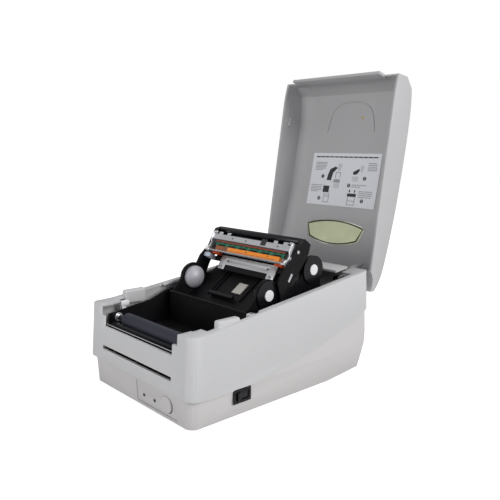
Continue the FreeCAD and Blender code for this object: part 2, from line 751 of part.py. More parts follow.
def ribbon_plates():
    """The two fixed plates that carry the ribbon hubs and wall the label bay."""
    for word, start in (("left", "-plate_outer"), ("right", "plate_inner")):
        body = new_body("ribbon_plate_" + word)
        front, floor = "partition_y + 3", "frame_floor + frame_wall"
        side = outline(sketch_on(body, "side", "YZ_Plane", start), [
            (front, floor), ("supply_y", floor), ("supply_y", "92"), ("supply_y + 14", "104"),
            ("supply_y + 17", "supply_z"), ("supply_y - 14", "supply_z + 11"), ("supply_y - 20", "supply_z - 10"),
            ("rewind_y + 28", "rewind_z - 3"), ("rewind_y + 14", "rewind_z + 12"),
            ("rewind_y - 12", "rewind_z + 13.5"), ("rewind_y - 20", "rewind_z - 2"), (front, "partition_top + 2")])
        pad(body, side, "plate_outer - plate_inner")
        bosses = sketch_on(body, "bosses", "YZ_Plane", start)
        circle(bosses, "rewind_y", "rewind_z", "hub_disc + 1")
        circle(bosses, "supply_y", "supply_z", "hub_disc")
        pad(body, bosses, "plate_outer - plate_inner")
        bores = sketch_on(body, "bores", "YZ_Plane", start + " - 1")
        circle(bores, "rewind_y", "rewind_z", "4 + running_gap")
        circle(bores, "supply_y", "supply_z", "4 + running_gap")
        pocket(body, bores, "plate_outer - plate_inner + 2", reverse=True)


def ribbon_tray():
    """The black sheet that slopes up between the ribbon plates, and the bare metal plate on it."""
    body = new_body("ribbon_tray")
    shape = outline(sketch_on(body, "shape", "YZ_Plane"), [
        ("partition_y + 3", "75"), ("pivot_y + 32", "124"), ("pivot_y + 31", "125.6"), ("partition_y + 3", "77")])
    pad(body, shape, "2 * (plate_inner - 0.1)", symmetric=True)
    patch = new_body("tray_plate")
    shape = outline(sketch_on(patch, "shape", "YZ_Plane"), [
        ("-2.66", "104.24"), ("11.2", "113.7"), ("10.65", "114.54"), ("-3.22", "105.07")])
    pad(patch, shape, "15", symmetric=True)
    bind(patch, Placement__Base__x="6")
    return body


def tear_bar():
    """The steel edge behind the front notch that labels are torn against."""
    front = "-(case_depth / 2 - 4.1) + case_wall - 3"
    body = new_body("tear_bar")
    shape = outline(sketch_on(body, "shape", "YZ_Plane"), [
        (front + " + 0.8", "notch_floor - 9"), (front + " + 9.2", "notch_floor - 9"),
        (front + " + 9.2", "notch_floor + 1.2"), (front + " + 13", "notch_floor + 1.6"),
        (front + " + 13", "notch_floor + 2.8"), (front + " + 8", "notch_floor + 2.2"),
        (front + " + 8", "notch_floor - 7.8"), (front + " + 0.8", "notch_floor - 7.8")])
    pad(body, shape, "2 * (notch_half - 1)", symmetric=True)
    return body


def frame_pins():
    """The frame's own pins: a pair for the carriage, one for the idler, the lever and the guide pinion."""
    floor = size("frame_floor") + size("frame_wall")
    pins = [spindle("carriage_pin", "hinge_pin", x, "pivot_y", "pivot_z")
            for x in (("-frame_half", "-(plate_outer + 1.2)"), ("plate_outer + 1.2", "frame_half"))]
    idler = drive_places()[1][1]
    inside = size("frame_half") - size("frame_wall")
    shapes = [Part.makeCylinder(size("stud_radius"), size("frame_wall") + 1.4 + size("gear_width"), VECTOR(inside, *idler), X_AXIS),
              Part.makeCylinder(size("stud_radius"), size("frame_wall") + 3.6,
                                VECTOR(-size("frame_half") - 3.6, size("lever_y"), size("lever_z")), X_AXIS),
              Part.makeCylinder(size("stud_radius"), 4.6, VECTOR(0, size("media_y"), floor), Z_AXIS)]
    for shape in shapes:
        pin = doc.addObject("Part::Feature", "pin")
        pin.Shape = shape
        pins.append(pin)
    return node(group("frame_pins", pins), "frame_pins")


# ---------------------------------------------------------------- platen and its drive
def toothed_wheel(teeth, width, bore, turn):
    """A spur gear about X with trapezoid teeth a little thinner than the space between them."""
    unit = size("gear_module")
    pitch = teeth * unit / 2
    root, tip = pitch - 1.25 * unit, pitch + unit
    step = 2 * math.pi / teeth
    points = []
    for number in range(teeth):
        for radius, share in ((root, -0.33), (tip, -0.13), (tip, 0.13), (root, 0.33)):
            angle = turn + (number + share) * step
            points.append(VECTOR(0, radius * math.cos(angle), radius * math.sin(angle)))
    points.append(points[0])
    gear = Part.Face(Part.makePolygon(points)).extrude(VECTOR(width, 0, 0))
    if bore:
        gear = gear.cut(Part.makeCylinder(bore, width + 2, VECTOR(-1, 0, 0), X_AXIS))
    return gear


def drive_places():
    """Centres of the platen gear, idler and motor pinion, and the turn that meshes each pair."""
    unit, play = size("gear_module"), size("gear_play")
    counts = [int(size(name)) for name in ("platen_teeth", "idler_teeth", "motor_teeth")]
    centres = [(size("platen_y"), size("platen_z"))]
    turns = [0.0]
    for index, direction in ((1, -50.0), (2, -60.0)):
        distance = unit * (counts[index - 1] + counts[index]) / 2 + play
        angle = math.radians(direction)
        y, z = centres[-1]
        centres.append((y + distance * math.cos(angle), z + distance * math.sin(angle)))
        before, after = counts[index - 1], counts[index]
        phase = (angle - turns[-1]) * before / (2 * math.pi)
        opposite = angle + math.pi
        turns.append(opposite - (0.5 - (phase % 1.0)) * 2 * math.pi / after)
    return counts, centres, turns


def drive_train():
    """Gears outside the right wall: one on the platen, an idler on a pin and the motor's pinion."""
    counts, centres, turns = drive_places()
    start = size("frame_half") + 0.8
    width = size("gear_width")
    for name, count, centre, turn, bore in zip(("platen_gear", "idler_gear", "motor_pinion"), counts, centres, turns,
                                               (size("shaft_radius"), size("stud_radius") + size("running_gap"), 0)):
        gear = toothed_wheel(count, width, bore, turn)
        gear.translate(VECTOR(start, *centre))
        if not bore:
            rear = size("arm_inner") - 5 - size("motor_length")
            gear = gear.fuse(Part.makeCylinder(2.5, start - rear, VECTOR(rear, *centre), X_AXIS))
        feature(name, gear)


def motor():
    """The stepper motor and the bracket that it hangs on."""
    centre = drive_places()[1][2]
    half, length = size("motor_size") / 2, size("motor_length")
    face = size("arm_inner") - 3
    can = box((face - 2 - length, face - 2), (centre[0] - half, centre[0] + half), (centre[1] - half, centre[1] + half))
    can = can.makeChamfer(3.5, [edge for edge in can.Edges if along(edge, X_AXIS)])
    can = can.cut(Part.makeCylinder(3.0, length + 2, VECTOR(face - 3 - length, *centre), X_AXIS))
    feature("stepper_motor", can)
    floor = size("frame_floor") + size("frame_wall")
    plate = box((face - 2, face), (centre[0] - half - 3, centre[0] + half + 3), (floor, centre[1] + half + 1))
    foot = box((face - 14, face), (centre[0] - half - 3, centre[0] + half + 3), (floor, floor + 2))
    stay = plate.fuse(foot.cut(can)).cut(Part.makeCylinder(3.0, 10, VECTOR(face - 6, *centre), X_AXIS))
    feature("motor_bracket", stay.removeSplitter())


def platen():
    """The rubber roller on its steel shaft, and a bush at each end."""
    roller = spindle("roller_rubber", "platen_radius", ("-platen_half", "platen_half"), "platen_y", "platen_z")
    core = spindle("roller_bore", "shaft_radius", ("-platen_half - 1", "platen_half + 1"), "platen_y", "platen_z")
    node(cut("platen_roller", roller, [core]), "platen_roller")
    shaft = spindle("platen_shaft", "shaft_radius", ("-(frame_half + 1)", "frame_half + 0.8 + gear_width"),
                    "platen_y", "platen_z")
    node(shaft, "platen_shaft")
    bushes = []
    for word, x in (("left", ("-frame_half", "-(frame_half - frame_wall - 1.5)")),
                    ("right", ("frame_half - frame_wall - 1.5", "frame_half"))):
        ring = spindle("bush_ring_" + word, "shaft_radius + 2", x, "platen_y", "platen_z")
        hole = spindle("bush_hole_" + word, "shaft_radius + running_gap", x, "platen_y", "platen_z")
        bushes.append(cut("platen_bush_" + word, ring, [hole]))
    node(group("platen_bushes", bushes), "platen_bushes")


# ---------------------------------------------------------------- ribbon hubs
def hub(name, y, z, side):
    """A ribbon hub: dome inside the plate, disc outside it, white cap on the disc."""
    inner, outer = size("plate_inner"), size("plate_outer")
    gap, tip = size("clearance"), size("hub_tip")
    arc_points = [VECTOR(tip, 0, 0), VECTOR(tip + 2.4, 0.62 * size("hub_dome"), 0),
                  VECTOR(inner - 4.5, size("hub_dome"), 0)]
    edges = [Part.Arc(*arc_points).toShape()]
    corners = [arc_points[2], VECTOR(inner - gap, size("hub_dome"), 0), VECTOR(inner - gap, 4, 0),
               VECTOR(outer + gap, 4, 0), VECTOR(outer + gap, size("hub_disc"), 0),
               VECTOR(outer + gap + 2, size("hub_disc"), 0), VECTOR(outer + gap + 2, 0, 0), VECTOR(tip, 0, 0)]
    edges += [straight_3d(corners[i], corners[i + 1]) for i in range(len(corners) - 1)]
    solid = Part.Face(Part.Wire(edges)).revolve(VECTOR(0, 0, 0), X_AXIS, 360)
    cap = Part.makeCylinder(6.5, 1.2, VECTOR(outer + gap + 2, 0, 0), X_AXIS)
    cap = cap.makeFillet(0.5, [edge for edge in cap.Edges if edge.BoundBox.XMin > outer + gap + 3])
    if side < 0:
        solid = solid.fuse(cap).mirror(VECTOR(0, 0, 0), X_AXIS)
    solid.translate(VECTOR(0, y, z))
    feature(name + ("_hub_right" if side > 0 else "_hub_left"), solid.removeSplitter())
    if side > 0:
        cap.translate(VECTOR(0, y, z))
        feature(name + "_cap", cap)


def ribbon_hubs():
    """Four hubs: the rewind pair at the front and the supply pair behind it."""
    for name in ("rewind", "supply"):
        for side in (-1, 1):
            hub(name, size(name + "_y"), size(name + "_z"), side)


# ---------------------------------------------------------------- print-head carriage
def head_arms():
    """The two black arms from the pivot pins to the top bar."""
    for word, start in (("left", "-(arm_inner + arm_thick)"), ("right", "arm_inner")):
        body = new_body("head_arm_" + word, carriage_place())
        side = outline(sketch_on(body, "side", "YZ_Plane", start), [
            ("-7", "-5"), ("9", "-6"), ("50", "13"), ("72", "26"), ("92", "28"), ("107", "24"), ("128", "20"),
            ("139", "23"), ("140", "35"), ("134", "42"), ("120", "42"), ("111", "41"), ("92", "47"), ("77", "47"),
            ("66", "35"), ("50", "28"), ("-3", "8")])
        pad(body, side, "arm_thick")
        boss = circle(sketch_on(body, "boss", "YZ_Plane", start), "0", "0", "hinge_pin + 6")
        pad(body, boss, "arm_thick")
        bore = circle(sketch_on(body, "bore", "YZ_Plane", start + " - 1"), "0", "0", "hinge_pin + running_gap")
        circle(bore, "head_pin_p", "head_pin_q", "stud_radius + running_gap")
        pocket(body, bore, "arm_thick + 2", reverse=True)


def top_bar():
    """The black bar that joins the arms over the print head."""
    body = new_body("module_top_bar", carriage_place())
    shape = outline(sketch_on(body, "shape", "YZ_Plane"), [
        ("126", "21"), ("140", "23"), ("141.5", "27"), ("140", "36"), ("136", "38"), ("132.5", "36"), ("132.5", "29"),
        ("126", "27")])
    pad(body, shape, "2 * bar_half", symmetric=True)
    return body


def head_unit():
    """The sprung print head: heat sink, circuit board, ceramic, covers and its bright bracket."""
    place = carriage_place()
    sink = new_body("head_heat_sink", place)
    shape = outline(sketch_on(sink, "shape", "YZ_Plane"), [
        ("104.5", "33.5"), ("120.5", "31.5"), ("120.5", "39"), ("104.5", "39")])
    pad(sink, shape, "2 * head_half", symmetric=True)
    parts = (("head_circuit_board", ("110.6", "116"), ("39", "40.6"), "head_half"),
             ("head_ceramic", ("104.5", "110.2"), ("39", "42.9"), "head_half - 4"),
             ("head_cover_strip", ("116.2", "118.6"), ("39", "41.6"), "head_half + 1"))
    for name, y, z, half in parts:
        body = new_body(name, place)
        pad(body, rectangle(sketch_on(body, "shape", "YZ_Plane"), y, z), "2 * (%s)" % half, symmetric=True)
    covers = []
    for number in range(6):
        x = -50 + 20 * number
        cover = block("driver_cover", (str(x - 6), str(x + 6)), ("111", "112.8"), ("40.6", "42"))
        covers.append(cover)
    node(group("head_driver_covers", covers), "head_driver_covers", place)


def head_bracket():
    """The folded bright plate along the head, with four tabs and an ear at each end."""
    place = carriage_place()
    strip = block("bracket_strip", ("-70.8", "70.8"), ("119", "126"), ("42", "43.2"))
    back = block("bracket_back", ("-70.8", "70.8"), ("119", "120.2"), ("39", "42"))
    pieces = [strip, back]
    for low, high in ((-62, -55), (-46, -40), (38, 44), (54, 61)):
        pieces.append(block("bracket_tab", (str(low), str(high)), ("126", "129.5"), ("42", "43.2")))
    for word, x in (("left", "-70.8"), ("right", "69.3")):
        body = doc.addObject("PartDesign::Body", "side_bracket_" + word)
        shape = outline(sketch_on(body, "shape", "YZ_Plane", x), [
            ("99", "36"), ("112", "32"), ("124", "34"), ("130", "40"), ("129", "45"), ("124", "47"), ("118", "46"),
            ("113", "42.5"), ("108", "43.5"), ("106", "47"), ("101", "47")])
        pad(body, shape, "1.5")
        pieces.append(body)
    for x in (("-(arm_inner + arm_thick)", "-70"), ("70", "arm_inner + arm_thick")):
        pieces.append(spindle("bracket_stud", "stud_radius", x, "head_pin_p", "head_pin_q"))
    node(fuse("head_bracket", pieces), "head_bracket", place)


def carriage_fittings():
    """Ribbon rod with clips, guide plate with screws, tabs, sensor block, springs and the leaf on the arm."""
    place = carriage_place()
    rod = spindle("rod_bar", "1.3", ("-69.2", "69.2"), "102.9", "43.5")
    node(group("ribbon_guide_rod", [rod]), "ribbon_guide_rod", place)
    tabs = [block("tab", x, ("100", "102"), ("36", "40")) for x in (("-63", "-50"), ("50", "63"))]
    tabs += [block("tab_stem", x, ("100.4", "104.5"), ("34", "36")) for x in (("-63", "-50"), ("50", "63"))]
    node(group("ribbon_guide_tabs", [fuse("tab_left", [tabs[0], tabs[2]]), fuse("tab_right", [tabs[1], tabs[3]])]),
         "ribbon_guide_tabs", place)
    plate = new_body("guide_plate", place)
    shape = outline(sketch_on(plate, "shape", "XY_Plane", "31"), [
        ("-50", "101"), ("50", "101"), ("50", "88"), ("50", "84"), ("38", "84"), ("38", "90.5"), ("-38", "90.5"),
        ("-38", "84"), ("-50", "84")])
    pad(plate, shape, "1.2")
    fold = rectangle(sketch_on(plate, "fold", "XY_Plane", "22.7"), ("-50", "50"), ("101", "102.2"))
    pad(plate, fold, "9.5")
    holes = sketch_on(plate, "holes", "XY_Plane", "30")
    for x in ("-36", "36"):
        circle(holes, x, "96", "1.4")
    pocket(plate, holes, "3", reverse=True)
    screws = [spindle("screw", "1.9", x, "86.5", ("32.2", "33.6"), Z_AXIS) for x in ("-44", "44")]
    node(group("guide_plate_screws", screws), "guide_plate_screws", place)
    beam = new_body("guide_beam", place)
    shape = outline(sketch_on(beam, "shape", "YZ_Plane"), [
        ("94", "29"), ("98", "29"), ("98", "20"), ("126", "17"), ("126", "20.9"), ("100.6", "22.3"), ("99.6", "30.8"),
        ("94", "30.8")])
    pad(beam, shape, "2 * bar_half", symmetric=True)
    flange = rectangle(sketch_on(beam, "flange", "YZ_Plane"), ("84", "95"), ("29", "30.8"))
    pad(beam, flange, "100", symmetric=True)
    sensor = block("sensor_block", ("-72.7", "-62"), ("93.5", "99"), ("31", "43"))
    node(group("ribbon_sensor", [sensor]), "ribbon_sensor", place)
    leaf = block("leaf_strip", ("arm_inner + arm_thick", "arm_inner + arm_thick + 0.6"), ("86", "96"), ("32", "35"))
    node(group("arm_leaf", [leaf]), "arm_leaf", place)
    springs = []
    for x in ("-40", "0", "40"):
        outer = spindle("spring", "3", x, "112", ("22.2", "31.7"), Z_AXIS)
        springs.append(outer)
    node(group("head_springs", springs), "head_springs", place)


# ---------------------------------------------------------------- controls
def controls():
    """Power rocker in its housing, feed button on its switch, two lamps and the release lever."""
    side = size("case_width") / 2 - size("base_step") - 0.3
    y, z = size("switch_y"), size("switch_z")
    half_y, half_z = size("switch_length") / 2, size("switch_height") / 2
    rim = box((side, side + 1.8), (y - half_y, y + half_y), (z - half_z, z + half_z))
    can = box((side - 14, side), (y - half_y + 1.8, y + half_y - 1.8), (z - half_z + 1.8, z + half_z - 1.8))
    well = box((side - 9, side + 5), (y - half_y + 3.2, y + half_y - 3.2), (z - half_z + 3, z + half_z - 3))
    feature("switch_housing", rim.fuse(can).cut(well).removeSplitter())
    rocker = prism([straight((-7.8, -3.5), (7.8, -3.5)), straight((7.8, -3.5), (8, 1.4)), straight((8, 1.4), (0, 0)),
                    straight((0, 0), (-8, 1.4)), straight((-8, 1.4), (-7.8, -3.5))], half_z - 3.3)
    rocker.rotate(VECTOR(0, 0, 0), Y_AXIS, 90)
    rocker.rotate(VECTOR(-3, 0, 0), Z_AXIS, size("rocker_tilt"))
    rocker.translate(VECTOR(side + 0.9, y, z))
    feature("power_rocker", rocker)
    face = -(size("case_depth") / 2 - size("base_step") - 1.2)
    cap = Part.makeCylinder(size("button_radius"), 7, VECTOR(size("button_x"), face - 1.2, size("button_z")), Y_AXIS)
    cap = cap.makeFillet(0.8, [edge for edge in cap.Edges if edge.BoundBox.YMax < face - 1])
    feature("feed_button", cap)
    board = box((-2, 70), (face + 9.2, face + 10.6), (6, 28))
    key = box((size("button_x") - 3, size("button_x") + 3), (face + 7.6, face + 9.2),
              (size("button_z") - 3, size("button_z") + 3))
    feature("panel_board", board.fuse(key))
    lamps = [Part.makeCylinder(1.8, 9.4, VECTOR(x, face - 0.2, size("led_z")), Y_AXIS)
             for x in (size("led_green_x"), size("led_dark_x"))]
    feature("panel_lamps", Part.makeCompound(lamps))


def release_lever():
    """The white lever that frees the carriage, on a pin outside the left wall."""
    out = -size("frame_half")
    y, z = size("lever_y"), size("lever_z")
    arm = box((out - 2.9, out - 0.5), (y - 3, y + 3), (z - 3, z + 16))
    tab = box((out - 2.9, out + 2.5), (y - 5.5, y + 5.5), (z + 16, z + 21.5))
    tab = tab.makeFillet(1.5, [edge for edge in tab.Edges if edge.BoundBox.ZMin > z + 20])
    lever = arm.fuse(tab).fuse(Part.makeCylinder(5, 2.4, VECTOR(out - 2.9, y, z), X_AXIS))
    lever = lever.cut(Part.makeCylinder(size("stud_radius") + size("running_gap"), 20, VECTOR(out - 8, y, z), X_AXIS))
    feature("release_lever", lever.removeSplitter())


# ---------------------------------------------------------------- label bay and electronics
def media_guides():
    """Two label guides on a rail, joined by racks and a pinion in the middle."""
    y, floor = size("media_y"), size("frame_floor") + size("frame_wall")
    rest = size("guide_rest")
    rail_low = floor + size("clearance")
    for side, word in ((-1, "left"), (1, "right")):
        disc = Part.makeCylinder(size("guide_radius"), 2.4, VECTOR(rest, y, size("media_z")), X_AXIS)
        disc = disc.common(box((rest - 1, rest + 4), (y - 31, y + 31), (rail_low + 4, 120)))
        core = Part.makeCylinder(size("core_radius"), 8, VECTOR(rest - 8, y, size("media_z")), X_AXIS)
        stem = box((rest, rest + 2.4), (y - 12, y + 12), (rail_low, size("media_z")))
        rack = box((size("rack_start"), rest), (y + size("rack_line"), y + size("rack_line") + 3.5), (rail_low, rail_low + 3))
        guide = disc.fuse(core).fuse(stem).fuse(rack)
        if side < 0:
            guide.rotate(VECTOR(0, y, 0), Z_AXIS, 180)
        feature("media_guide_" + word, guide.removeSplitter())
    pinion = Part.makeCylinder(size("rack_line") - 2 * size("clearance"), 3, VECTOR(0, y, rail_low), Z_AXIS)
    pinion = pinion.cut(Part.makeCylinder(size("stud_radius") + size("running_gap"), 5, VECTOR(0, y, rail_low - 1), Z_AXIS))
    feature("guide_pinion", pinion)


def electronics():
    """Main board under the frame, and the ports that stand on it behind the base's rear openings."""
    face = size("case_depth") / 2 - size("base_step") + size("case_tail") - size("case_wall") - 6.5
    top = size("frame_floor") - 0.2
    feature("main_board", box((-62, 62), (-60, face - 10), (top - 1.6, top)))
    ports = []
    for x, low, high in (((-58, -10), 20, 32), ((-4, 26), 20, 32), ((45, 59), 21, 33)):
        shell = box(x, (face - 18, face), (low, high))
        foot = box((x[0] + 2, x[1] - 2), (face - 17, face - 11), (top, low))
        ports.append(shell.fuse(foot))
    ports[2] = ports[2].cut(Part.makeCylinder(3.2, 10, VECTOR(52, face - 7.4, 27), Y_AXIS))
    feature("rear_ports", Part.makeCompound(ports))


def case_screws():
    """Six screws that pull the base up to the case."""
    screws = [spindle("case_screw", "3.2", x, y, ("base_floor - 0.9", "base_floor"), Z_AXIS)
              for x in ("-84", "84") for y in ("-95", "0", "50")]
    return node(group("case_screws", screws), "case_screws")


def make_all():
    """Build every sub-part."""
    upper_case()
    lower_base()
    lid_shell()
    lid_window()
    instruction_sheet()
    hinge_parts()
    feet()
    main_frame()
    partition()
    front_pan()
    ribbon_plates()
    ribbon_tray()
    tear_bar()
    frame_pins()
    drive_train()
    motor()
    platen()
    ribbon_hubs()
    head_arms()
    top_bar()
    head_unit()
    head_bracket()
    carriage_fittings()
    controls()
    release_lever()
    media_guides()
    electronics()
    case_screws()


def export():
    """Check every object and write one STEP file for each sub-part."""
    doc.recompute()
    for item in doc.Objects:
        if "Invalid" in item.State or "Error" in item.State:
            raise RuntimeError("%s failed: %s" % (item.Name, item.State))
    os.makedirs("parts", exist_ok=True)
    for item in NODES:
        if item.Shape.isNull() or not item.Shape.isValid() or not item.Shape.Solids:
            raise RuntimeError(item.Label + " is not a valid solid")
    for item in NODES:
        item.Shape.exportStep("parts/%s.step" % item.Label)
        bound = item.Shape.BoundBox
        print("%-22s %d  X %7.1f %7.1f  Y %7.1f %7.1f  Z %7.1f %7.1f" % (
            item.Label, len(item.Shape.Solids), bound.XMin, bound.XMax, bound.YMin, bound.YMax, bound.ZMin, bound.ZMax))
    print(len(NODES), "nodes")


make_all()
export()
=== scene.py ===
# %% [markdown]
# # A desktop label printer with its lid open
# The real object is a moulded printer: a light case on a slightly pinkish base, a deep lid that stands
# open at the back, and between them the black works with the ribbon hubs and the raised print head.
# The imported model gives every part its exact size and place. This lesson gives each part the finish of
# the real one, softens the moulded edges, and adds the small fittings that make it read as a machine.

import json
import math

import bmesh
import bpy
from mathutils import Matrix, Vector
from mathutils.bvhtree import BVHTree


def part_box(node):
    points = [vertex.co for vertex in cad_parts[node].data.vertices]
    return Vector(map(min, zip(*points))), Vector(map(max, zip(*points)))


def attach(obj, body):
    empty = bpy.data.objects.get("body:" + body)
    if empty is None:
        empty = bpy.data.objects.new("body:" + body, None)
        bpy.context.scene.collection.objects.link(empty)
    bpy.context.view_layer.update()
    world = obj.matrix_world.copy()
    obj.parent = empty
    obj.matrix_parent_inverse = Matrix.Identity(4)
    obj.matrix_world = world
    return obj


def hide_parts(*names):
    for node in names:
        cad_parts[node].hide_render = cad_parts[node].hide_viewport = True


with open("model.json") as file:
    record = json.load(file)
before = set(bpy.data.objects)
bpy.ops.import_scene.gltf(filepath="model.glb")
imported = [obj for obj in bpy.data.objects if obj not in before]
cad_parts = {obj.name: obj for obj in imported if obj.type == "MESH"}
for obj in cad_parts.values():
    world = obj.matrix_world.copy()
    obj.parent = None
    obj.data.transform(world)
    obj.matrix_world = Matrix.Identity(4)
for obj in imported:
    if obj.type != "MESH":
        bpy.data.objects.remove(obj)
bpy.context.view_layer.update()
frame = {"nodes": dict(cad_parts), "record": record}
nodes = frame["nodes"]

MM = 0.001

# %% [markdown]
# The camera stands in front of the right side, a little above the case. A long lens keeps the case's
# edges nearly parallel, so it is placed by its angles round the printer and looks along them.

# %% Camera
CAMERA_PLACE = (0.52748, -0.46905, 0.27049)
AZIMUTH, ELEVATION, ROLL = (math.radians(angle) for angle in (46.87, 9.14, 0.99))


def add_camera():
    back = Vector((math.sin(AZIMUTH) * math.cos(ELEVATION), -math.cos(AZIMUTH) * math.cos(ELEVATION),
                   math.sin(ELEVATION)))
    right = Vector((math.cos(AZIMUTH), math.sin(AZIMUTH), 0))
    up = back.cross(right)
    side = right * math.cos(ROLL) + up * math.sin(ROLL)
    top = up * math.cos(ROLL) - right * math.sin(ROLL)
    data = bpy.data.cameras.new("camera")
    data.lens, data.sensor_width = 42.785, 36
    data.clip_start, data.clip_end = 0.01, 50
    camera = bpy.data.objects.new("camera", data)
    bpy.context.scene.collection.objects.link(camera)
    turn = Matrix((side, top, back)).transposed().to_4x4()
    camera.matrix_world = Matrix.Translation(CAMERA_PLACE) @ turn
    bpy.context.scene.camera = camera
    return camera


camera = add_camera()
print("camera at", [round(value, 3) for value in camera.location])

# %% [markdown]
# A studio for a pale product is mostly white: a broad even sky fills the shadows, one large soft lamp on
# the right gives the case its bright side, a weak one lies above, and a small one in front keeps the front
# face a step darker than the side. What the lens sees is plain white, straight or through the clear window,
# and Light Path keeps that apart from the sky that lights.


# %% Studio
def link_object(name, data):
    thing = bpy.data.objects.new(name, data)
    bpy.context.scene.collection.objects.link(thing)
    return thing


def seen_through(tree, path):
    """One where the lens looks straight at a surface or sees it through the clear window, else zero."""
    either = tree.nodes.new("ShaderNodeMath")
    either.operation = "MAXIMUM"
    tree.links.new(path.outputs["Is Camera Ray"], either.inputs[0])
    tree.links.new(path.outputs["Is Transmission Ray"], either.inputs[1])
    return either.outputs[0]


def add_sky(light_level, seen_level):
    world = bpy.data.worlds.new("studio_sky")
    bpy.context.scene.world = world
    world.use_nodes = True
    tree = world.node_tree
    tree.nodes.clear()
    output = tree.nodes.new("ShaderNodeOutputWorld")
    mix = tree.nodes.new("ShaderNodeMixShader")
    path = tree.nodes.new("ShaderNodeLightPath")
    lighting, seen = (tree.nodes.new("ShaderNodeBackground") for _ in range(2))
    lighting.inputs["Color"].default_value = (0.97, 0.98, 1.0, 1)
    lighting.inputs["Strength"].default_value = light_level
    seen.inputs["Color"].default_value = (1, 1, 1, 1)
    seen.inputs["Strength"].default_value = seen_level
    tree.links.new(seen_through(tree, path), mix.inputs["Fac"])
    tree.links.new(lighting.outputs[0], mix.inputs[1])
    tree.links.new(seen.outputs[0], mix.inputs[2])
    tree.links.new(mix.outputs[0], output.inputs["Surface"])


def add_lamp(name, place, target, width, power):
    data = bpy.data.lights.new(name, "AREA")
    data.shape, data.size, data.energy = "DISK", width, power
    lamp = link_object(name, data)
    lamp.location = place
    lamp.rotation_euler = (Vector(target) - Vector(place)).to_track_quat("-Z", "Y").to_euler()
    return lamp


def add_floor():
    """A pale floor: the lens sees it nearly white, and the printer gets only its soft bounce."""
    mesh = bpy.data.meshes.new("floor")
    mesh.from_pydata([(-6, -6, 0), (6, -6, 0), (6, 6, 0), (-6, 6, 0)], [], [(0, 1, 2, 3)])
    floor = link_object("floor", mesh)
    material = bpy.data.materials.new("pale_floor")
    material.use_nodes = True
    tree = material.node_tree
    shader = tree.nodes["Principled BSDF"]
    shader.inputs["Base Color"].default_value = (0.6, 0.6, 0.6, 1)
    shader.inputs["Roughness"].default_value = 0.9
    shader.inputs["Emission Color"].default_value = (1, 1, 1, 1)
    path = tree.nodes.new("ShaderNodeLightPath")
    glow = tree.nodes.new("ShaderNodeMath")
    glow.operation = "MULTIPLY"
    glow.inputs[1].default_value = 0.85
    tree.links.new(seen_through(tree, path), glow.inputs[0])
    tree.links.new(glow.outputs[0], shader.inputs["Emission Strength"])
    mesh.materials.append(material)


SKY_LIGHT, SKY_SEEN = 0.42, 1.0
add_sky(SKY_LIGHT, SKY_SEEN)
add_lamp("key", (1.9, 0.3, 1.1), (0, 0, 0.12), 1.1, 29)
add_lamp("top", (0.1, 0.7, 2.2), (0, 0, 0.1), 1.2, 5)
add_lamp("front_fill", (-0.2, -1.3, 0.35), (0, 0, 0.12), 0.8, 6)
add_floor()
bpy.context.scene.view_settings.view_transform = "Standard"

# %% [markdown]
# ## Finishes
# Three effects come back on many parts, so each is one node group that is built once:
# the fine grain of a spark-eroded mould with its slow change of tone, the straight scratches of brushed
# sheet metal, and the dust that settles in patches on upward faces. A group gives out only
# colours, roughness and heights, and each material keeps its own shader.


# %% Node groups
def new_group(name, inputs, outputs):
    tree = bpy.data.node_groups.new(name, "ShaderNodeTree")
    for label, kind, default in inputs:
        socket = tree.interface.new_socket(name=label, in_out="INPUT", socket_type=kind)
        if default is not None:
            socket.default_value = default
    for label, kind in outputs:
        tree.interface.new_socket(name=label, in_out="OUTPUT", socket_type=kind)
    return tree, tree.nodes.new("NodeGroupInput"), tree.nodes.new("NodeGroupOutput")


def noise(tree, vector, scale, detail=2.0, name="noise"):
    texture = tree.nodes.new("ShaderNodeTexNoise")
    texture.name = name
    texture.inputs["Detail"].default_value = detail
    tree.links.new(vector, texture.inputs["Vector"])
    if isinstance(scale, (int, float)):
        texture.inputs["Scale"].default_value = scale
    else:
        tree.links.new(scale, texture.inputs["Scale"])
    return texture.outputs["Fac"]


def blend_colours(tree, factor, first, second):
    mix = tree.nodes.new("ShaderNodeMix")
    mix.data_type = "RGBA"
    tree.links.new(factor, mix.inputs["Factor"])
    for socket, value in (("A", first), ("B", second)):
        target = [item for item in mix.inputs if item.name == socket and item.type == "RGBA"][0]
        if isinstance(value, bpy.types.NodeSocket):
            tree.links.new(value, target)
        else:
            target.default_value = value
    return [item for item in mix.outputs if item.type == "RGBA"][0]


def spread(tree, value, low, high, from_low=0.3, from_high=0.7):
    node = tree.nodes.new("ShaderNodeMapRange")
    node.inputs["From Min"].default_value = from_low
    node.inputs["From Max"].default_value = from_high
    tree.links.new(value, node.inputs["Value"])
    for socket, number in (("To Min", low), ("To Max", high)):
        if isinstance(number, bpy.types.NodeSocket):
            tree.links.new(number, node.inputs[socket])
        else:
            node.inputs[socket].default_value = number
    return node.outputs["Result"]


